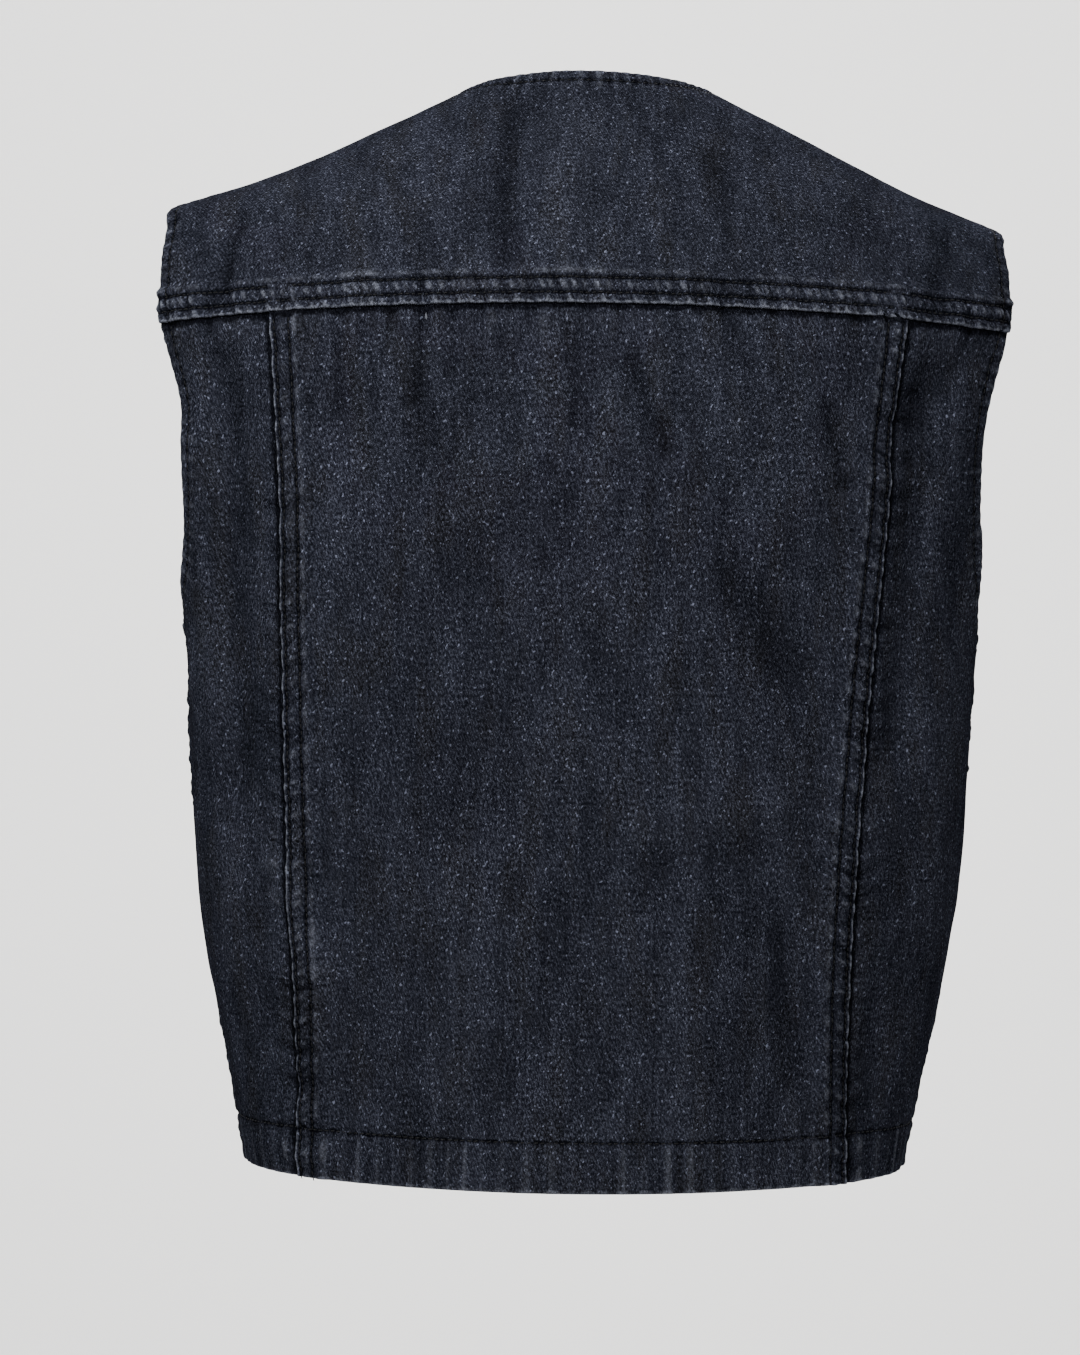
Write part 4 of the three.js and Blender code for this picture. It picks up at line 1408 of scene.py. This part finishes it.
def stitches(name, rows, length=None, width=None):
    """All of a group's stitches as one mesh, as long and as wide as the seams' own or as given."""
    cloth = bpy.context.scene.vest_cloth
    width = width or cloth.thread / MM
    shape, shape_faces = stitch_shape(length or 0.84 * cloth.stitch / MM, width)
    verts, faces = [], []
    count = 0
    for middles, along, outward in rows:
        side = np.cross(outward, along)
        for middle, x, y, z in zip(middles, along, side, outward):
            placed = shape[:, :1] * x + shape[:, 1:2] * y + (shape[:, 2:] + 0.16 * width) * z
            verts.append((middle + placed) * MM)
            faces.extend(tuple(i + count for i in face) for face in shape_faces)
            count += len(shape)
    mesh = bpy.data.meshes.new(name)
    mesh.from_pydata(np.concatenate(verts).tolist(), [], faces)
    mesh.polygons.foreach_set("use_smooth", np.ones(len(faces), bool))
    mesh.materials.append(finish("thread"))
    piece = bpy.data.objects.new(name, mesh)
    bpy.context.scene.collection.objects.link(piece)
    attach(piece, ROOT)


# The lamps, in metres, watts and degrees. Those of the backdrop light the floor's raised rim, each
# on its own side of the middle.
Lamp = namedtuple("Lamp", "name place target size power spread")
BACKDROPS = (("front", 0, -1, 220), ("back", 0, 1, 120), ("left", 1, 0, 50), ("right", -1, 0, 50))
LAMPS = (
    Lamp("key", (0.42, 1.12, 0.86), (0, 0, -0.12), 0.7, 14, 110),
    Lamp("fill", (0.3, 2.4, 1.2), (0, 0, -0.2), 1.2, 4.5, 90),
    Lamp("front", (-0.4, -1.1, 0.95), (0, 0, -0.1), 0.7, 15, 110),
) + tuple(Lamp("backdrop_" + name, (2.4 * x, 2.4 * y, 2.6), (5.9 * x, 5.9 * y, -0.2), 3.0, power,
               130) for name, x, y, power in BACKDROPS)
DAYLIGHT = (0.95, 0.96, 1.0, 1)
DAYLIGHT_STRENGTH = 0.12

# The camera's place beside and below the vest's origin, in metres, and its roll in degrees.
CAMERA_ASIDE = 0.0200
CAMERA_HEIGHT = -0.2995
CAMERA_ROLL = 0.65
SENSOR_WIDTH = 36

# The floor's outline from its flat middle out: radius and rise in metres.
FLOOR_OUTLINE = ((1.2, 0.0), (2.4, 0.0), (3.6, 0.0), (4.3, 0.06), (4.9, 0.22), (5.4, 0.52),
                 (5.8, 1.0), (6.1, 1.7), (6.25, 2.8), (6.3, 4.6))
FLOOR_SIDES = 96


class VEST_OT_stage(bpy.types.Operator):
    """Make the pale floor, the soft lights and the camera"""

    bl_idname = "vest.stage"
    bl_label = "Stage"

    def execute(self, context):
        stage = context.scene.vest_stage
        round_floor(stage.floor)
        for lamp in LAMPS:
            soft_light(lamp)
        world = bpy.data.worlds.new("studio")
        context.scene.world = world
        world.use_nodes = True
        world.node_tree.nodes["Background"].inputs["Color"].default_value = DAYLIGHT
        world.node_tree.nodes["Background"].inputs["Strength"].default_value = DAYLIGHT_STRENGTH
        camera = bpy.data.cameras.new("camera")
        holder = bpy.data.objects.new("camera", camera)
        context.scene.collection.objects.link(holder)
        context.scene.camera = holder
        camera.sensor_width = SENSOR_WIDTH
        reach = stage.distance * stage.pixels_per_metre / stage.image_height
        camera.lens = camera.sensor_width * reach
        holder.location = (CAMERA_ASIDE, stage.distance, CAMERA_HEIGHT)
        turn = Matrix.Rotation(math.pi, 4, "Z") @ Matrix.Rotation(math.pi / 2, 4, "X")
        roll = Matrix.Rotation(math.radians(CAMERA_ROLL), 4, "Z")
        holder.rotation_mode = "QUATERNION"
        holder.rotation_quaternion = (turn @ roll).to_quaternion()
        return {"FINISHED"}


def round_floor(height):
    """A pale round floor whose rim sweeps up all round."""
    shape = bmesh.new()
    rings = []
    for radius, rise in FLOOR_OUTLINE:
        turns = [2 * math.pi * k / FLOOR_SIDES for k in range(FLOOR_SIDES)]
        rings.append([shape.verts.new((radius * math.cos(turn), radius * math.sin(turn),
                                       height + rise)) for turn in turns])
    shape.faces.new(rings[0])
    for low, high in zip(rings, rings[1:]):
        for k in range(FLOOR_SIDES):
            after = (k + 1) % FLOOR_SIDES
            shape.faces.new((low[k], high[k], high[after], low[after]))
    mesh = bpy.data.meshes.new("floor")
    shape.to_mesh(mesh)
    shape.free()
    mesh.polygons.foreach_set("use_smooth", [True] * len(mesh.polygons))
    floor = bpy.data.objects.new("floor", mesh)
    bpy.context.scene.collection.objects.link(floor)
    to = Nodes("floor")
    to.shader.inputs["Base Color"].default_value = (0.88, 0.875, 0.865, 1)
    to.shader.inputs["Roughness"].default_value = 0.9
    mesh.materials.append(to.made)
    return floor


def soft_light(lamp):
    """A round area light that faces its target."""
    light = bpy.data.lights.new(lamp.name, "AREA")
    light.shape = "DISK"
    light.size = lamp.size
    light.spread = math.radians(lamp.spread)
    light.energy = lamp.power
    holder = bpy.data.objects.new(lamp.name, light)
    bpy.context.scene.collection.objects.link(holder)
    holder.location = lamp.place
    way = Vector(lamp.target) - Vector(lamp.place)
    holder.rotation_mode = "QUATERNION"
    holder.rotation_quaternion = way.to_track_quat("-Z", "Y")


# Where the yoke's rows turn its corner at the neck, as an angle from the middle of the back, and
# how far from the neck they stay fine, in millimetres.
YOKE_NECK_TURN = 1.15
YOKE_NECK_REACH = 9.0


class VEST_OT_yoke(bpy.types.Operator):
    """Make the back yoke that runs over both shoulders"""

    bl_idname = "vest.yoke"
    bl_label = "Yoke"

    def execute(self, context):
        corner = armhole_edge(np.linspace(TIP_SEAM_ANGLE, YOKE_CORNER, 90))
        outer = joined(corner, LINES["yoke_seam"], sided(corner[::-1], -1))
        neck = neck_edge(np.linspace(NECK_SEAM_ANGLE, 0, 110))
        neck = joined(neck, sided(neck[::-1], -1))
        whole = line_length(outer)
        shares = steps_along(whole, SEAM_REACH, SEAM_REACH, YOKE_STEP) / whole
        turn = line_length(corner) / whole
        neck_turn = 0.5 - 0.5 * YOKE_NECK_TURN / NECK_SEAM_ANGLE
        neck_shares = np.interp(shares, (0, turn, 1 - turn, 1), (0, neck_turn, 1 - neck_turn, 1))
        left, right = at_shares(neck, neck_shares), at_shares(outer, shares)
        shoulder = LINES["shoulder_seam_left"]
        denim_piece("yoke", grid_between(left, right, shoulder, sided(shoulder, -1),
                                         YOKE_NECK_REACH, SEAM_REACH))
        return {"FINISHED"}


class VEST_OT_centre_back(bpy.types.Operator):
    """Make the centre back, whose edges lap over the side backs"""

    bl_idname = "vest.centre_back"
    bl_label = "Centre back"

    def execute(self, context):
        top_z = yoke_seam_z(SIDE_BACK_X) + TUCK
        right, left = [sided(to_hem(downwards(
            lambda z: back_seam_share(side, z), top_z, HEM_SIDES - 0.4 * HEM_DIP, 260)), side)
            for side in (-1, 1)]
        shares = rows_down(right)
        right, left = at_shares(right, shares), at_shares(left, shares)
        q = np.linspace(right[0, 0], left[0, 0], 80)
        x = form_point(q, np.full(80, top_z))[:, 0]
        top = ended(places_at(q, yoke_seam_z(x) + TUCK), right[0], left[0])
        bottom = hem_between(right[-1, 0], left[-1, 0], 80)
        denim_piece("back_center", grid_between(right, left, top, bottom, SEAM_REACH,
                                                SEAM_REACH))
        return {"FINISHED"}


# How far below the underarm the rows of a side back and of a front turn their corner at the edge
# across from it, and how far they stay fine past a side back's tuck and at the front band.
SIDE_BACK_TURN = 62.0
FRONT_TURN = 85.0
PAST_TUCK = 8.0
BAND_REACH = 30.0


class VEST_OT_side_backs(bpy.types.Operator):
    """Make the two side backs, tucked under the centre back and the yoke"""

    bl_idname = "vest.side_backs"
    bl_label = "Side backs"

    def execute(self, context):
        corner_z = yoke_seam_z(YOKE_CORNER_X) + TUCK
        top_angle = solve(lambda angle: armhole_edge(angle)[0, 1] - corner_z, 0.1, math.pi / 2)
        outer, corner = outer_edge(top_angle, SIDE_SEAM_Y)
        for side, word in SIDES:
            inner = to_hem(downwards(
                lambda z: back_seam_share(side, z) - TUCK / half_length(z),
                yoke_seam_z(SIDE_BACK_X) + TUCK, HEM_SIDES, 260))
            right, left = matched(outer, corner, inner, UNDERARM_Z - SIDE_BACK_TURN)
            x = np.linspace(*form_point(*np.array([left[0], right[0]]).T)[:, 0], 60)
            z = yoke_seam_z(x) + TUCK
            top = ended(places_at(share_at_x(z, x), z), left[0], right[0])
            bottom = hem_between(left[-1, 0], right[-1, 0], 60)
            places = grid_between(left, right, top, bottom, TUCK + PAST_TUCK, SEAM_REACH)
            denim_piece("back_side_" + word, sided(places, side))
        return {"FINISHED"}


class VEST_OT_fronts(bpy.types.Operator):
    """Make the two plain fronts, the right one over the left"""

    bl_idname = "vest.fronts"
    bl_label = "Fronts"

    def execute(self, context):
        seam_y = SHOULDER_SEAM_Y + SHOULDER_TUCK
        tip = math.asin(seam_y / ARMHOLE_FRONT)
        outer, corner = outer_edge(2 * math.pi + tip, SIDE_SEAM_Y + TUCK)
        neck_angle = solve(lambda angle: y_of(neck_edge(angle)) - seam_y, 1.2, 2.8)
        neck = neck_edge(np.linspace(neck_angle, NECK_END_ANGLE, 120))
        for side, word in SIDES:
            middle = sided(LINES["front_edge_" + word], side)
            left, right = matched(outer, corner, middle, UNDERARM_Z - FRONT_TURN)
            shoulder = downwards(lambda z: share_at_y(z, seam_y), left[0, 1], neck[0, 1], 60)
            top = ended(joined(shoulder, neck), left[0], right[0])
            bottom = hem_between(left[-1, 0], right[-1, 0], 60)
            places = grid_between(left, right, top, bottom, SEAM_REACH, BAND_REACH)
            denim_piece("front_" + word, sided(places, side))
        return {"FINISHED"}


class VEST_OT_stitching(bpy.types.Operator):
    """Sew the rows of stitches along the seams and edges"""

    bl_idname = "vest.stitching"
    bl_label = "Stitching"

    def execute(self, context):
        stitches("stitches_yoke_seam", [
            stitch_row("yoke", "yoke_seam", row, (2, 2), row) for row in YOKE_ROWS])
        stitches("stitches_back_seams", [
            stitch_row("back_center", "back_seam_" + word, side * row, (5, 1), 20 + row)
            for side, word in SIDES for row in BACK_ROWS])
        stitches("stitches_hem", hem_stitches())
        stitches("stitches_neck", neck_stitches())
        stitches("stitches_armholes", armhole_stitches())
        stitches("stitches_side_seams", [
            stitch_row("back_side_" + word, "side_seam_" + word, side * row, (8, 1), 40 + row)
            for side, word in SIDES for row in SIDE_ROWS]
            + [stitch_row("yoke", "shoulder_seam_" + word, side * row, (7, 7), 50 + row)
               for side, word in SIDES for row in SIDE_ROWS])
        stitches("stitches_fronts", [
            stitch_row("front_" + word, "front_edge_" + word, side * row, (2, 2), 60 + row)
            for side, word in SIDES for row in FRONT_ROWS])
        return {"FINISHED"}


# A button's outline from the cloth outwards: radius and height, in millimetres.
Turn = namedtuple("Turn", "radius height")
BUTTON_OUTLINE = (
    Turn(3.6, 0.2), Turn(3.6, 1.3), Turn(7.6, 1.45), Turn(8.25, 1.75), Turn(8.5, 2.2),
    Turn(8.5, 2.75), Turn(8.25, 3.25), Turn(7.85, 3.5), Turn(7.45, 3.5), Turn(7.1, 3.25),
    Turn(6.9, 2.95), Turn(6.3, 2.85), Turn(4.6, 3.1), Turn(3.1, 3.3), Turn(2.9, 3.55),
    Turn(2.5, 3.75), Turn(1.6, 3.85), Turn(0.6, 3.88),
)


def turned_button(name):
    """A button shaped from a disc by extruding and resizing its face along the outline."""
    bpy.ops.object.select_all(action="DESELECT")
    first = BUTTON_OUTLINE[0]
    bpy.ops.mesh.primitive_circle_add(vertices=56, radius=first.radius * MM, fill_type="NGON",
                                      location=(0, 0, first.height * MM))
    button = bpy.context.active_object
    button.name = name
    bpy.ops.object.transform_apply(location=True, rotation=True, scale=True)
    bpy.ops.object.mode_set(mode="EDIT")
    bpy.ops.mesh.select_all(action="SELECT")
    for before, turn in zip(BUTTON_OUTLINE, BUTTON_OUTLINE[1:]):
        rise = (turn.height - before.height) * MM
        bpy.ops.mesh.extrude_region_move(TRANSFORM_OT_translate={"value": (0, 0, rise)})
        size = turn.radius / before.radius
        bpy.ops.transform.resize(value=(size, size, 1), center_override=(0, 0, 0))
    bpy.ops.mesh.select_all(action="SELECT")
    bpy.ops.mesh.normals_make_consistent(inside=False)
    bpy.ops.object.mode_set(mode="OBJECT")
    bpy.ops.object.shade_smooth_by_angle(angle=math.radians(50))
    return button


# A buttonhole's length, half its width, how far it begins before the button's middle, and its
# number of stitches, with the length and width of one.
BUTTONHOLE_LENGTH = 19.0
BUTTONHOLE_HALF = 1.5
BUTTONHOLE_BEFORE = 2.5
BUTTONHOLE_STITCHES = 64
BUTTONHOLE_STITCH = (2.4, 0.5)


def buttonhole(z):
    """Close stitches square to a slit that runs from under a button away from the edge."""
    turns = np.linspace(0, 2 * math.pi, BUTTONHOLE_STITCHES, endpoint=False)
    across_way, up_way = np.cos(turns), np.sin(turns)
    middle = -BUTTONHOLE_LENGTH / 2 + BUTTONHOLE_BEFORE
    across = np.clip(1.35 * across_way, -1, 1) * (BUTTONHOLE_LENGTH / 2 - BUTTONHOLE_HALF)
    rounding = BUTTONHOLE_HALF * np.where(np.abs(across_way) > 0.74, across_way, 0)
    x = middle + across + rounding
    q = -1 - x / float(half_length(z))
    heights = z + BUTTONHOLE_HALF * np.clip(1.5 * up_way, -1, 1)
    outer = cloth_layers("front_right", q, heights)[0]
    outward = form_outward(q, heights)
    middles = form_point(q, heights) + outward * outer[:, None]
    square = np.stack([np.where(np.abs(across_way) > 0.8, across_way, 0.1),
                       np.zeros(len(turns)), up_way], -1)
    along = unit(square - outward * (square * outward).sum(1, keepdims=True))
    return middles, along, outward


class VEST_OT_buttons(bpy.types.Operator):
    """Fasten the six metal buttons down the front and sew their buttonholes"""

    bl_idname = "vest.buttons"
    bl_label = "Buttons"

    def execute(self, context):
        loops = []
        for index in range(BUTTON_COUNT):
            z = BUTTON_FIRST - BUTTON_PITCH * index
            q, z = np.array([-1.0]), np.array([z])
            height = cloth_layers("front_right", q, z)[0][0]
            outward = form_outward(q, z)[0]
            place = (form_point(q, z)[0] + outward * height) * MM
            button = turned_button("button_%d_cap" % (index + 1))
            turn = Vector((0, 0, 1)).rotation_difference(Vector(outward))
            button.matrix_world = Matrix.Translation(Vector(place)) @ turn.to_matrix().to_4x4()
            bpy.ops.object.transform_apply(location=True, rotation=True, scale=True)
            button.data.materials.clear()
            button.data.materials.append(finish("metal"))
            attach(button, ROOT)
            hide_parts("button_%d" % (index + 1))
            loops.append(buttonhole(float(z[0])))
        stitches("stitches_buttonholes", loops, *BUTTONHOLE_STITCH)
        return {"FINISHED"}


class VEST_PT_panel(bpy.types.Panel):
    """The vest's sizes, colours and steps"""

    bl_label = "Vest"
    bl_idname = "VEST_PT_panel"
    bl_space_type = "VIEW_3D"
    bl_region_type = "UI"
    bl_category = "Vest"

    def draw(self, context):
        for group in (context.scene.vest_cloth, context.scene.vest_colours,
                      context.scene.vest_stage):
            box = self.layout.box()
            for name in group.__annotations__:
                box.prop(group, name)
        for operator in OPERATORS:
            self.layout.operator(operator.bl_idname)


OPERATORS = (VEST_OT_stage, VEST_OT_yoke, VEST_OT_centre_back, VEST_OT_side_backs,
             VEST_OT_fronts, VEST_OT_stitching, VEST_OT_buttons)
CLASSES = (VestCloth, VestColours, VestStage) + OPERATORS + (VEST_PT_panel,)


def register():
    for each in CLASSES:
        bpy.utils.register_class(each)
    bpy.types.Scene.vest_cloth = PointerProperty(type=VestCloth)
    bpy.types.Scene.vest_colours = PointerProperty(type=VestColours)
    bpy.types.Scene.vest_stage = PointerProperty(type=VestStage)


def unregister():
    del bpy.types.Scene.vest_stage
    del bpy.types.Scene.vest_colours
    del bpy.types.Scene.vest_cloth
    for each in reversed(CLASSES):
        bpy.utils.unregister_class(each)


def main():
    """Dress the frame, one step after the other."""
    register()
    bpy.ops.vest.stage()
    bpy.ops.vest.yoke()
    bpy.ops.vest.centre_back()
    bpy.ops.vest.side_backs()
    bpy.ops.vest.fronts()
    bpy.ops.vest.stitching()
    bpy.ops.vest.buttons()


if __name__ == "__main__":
    main()
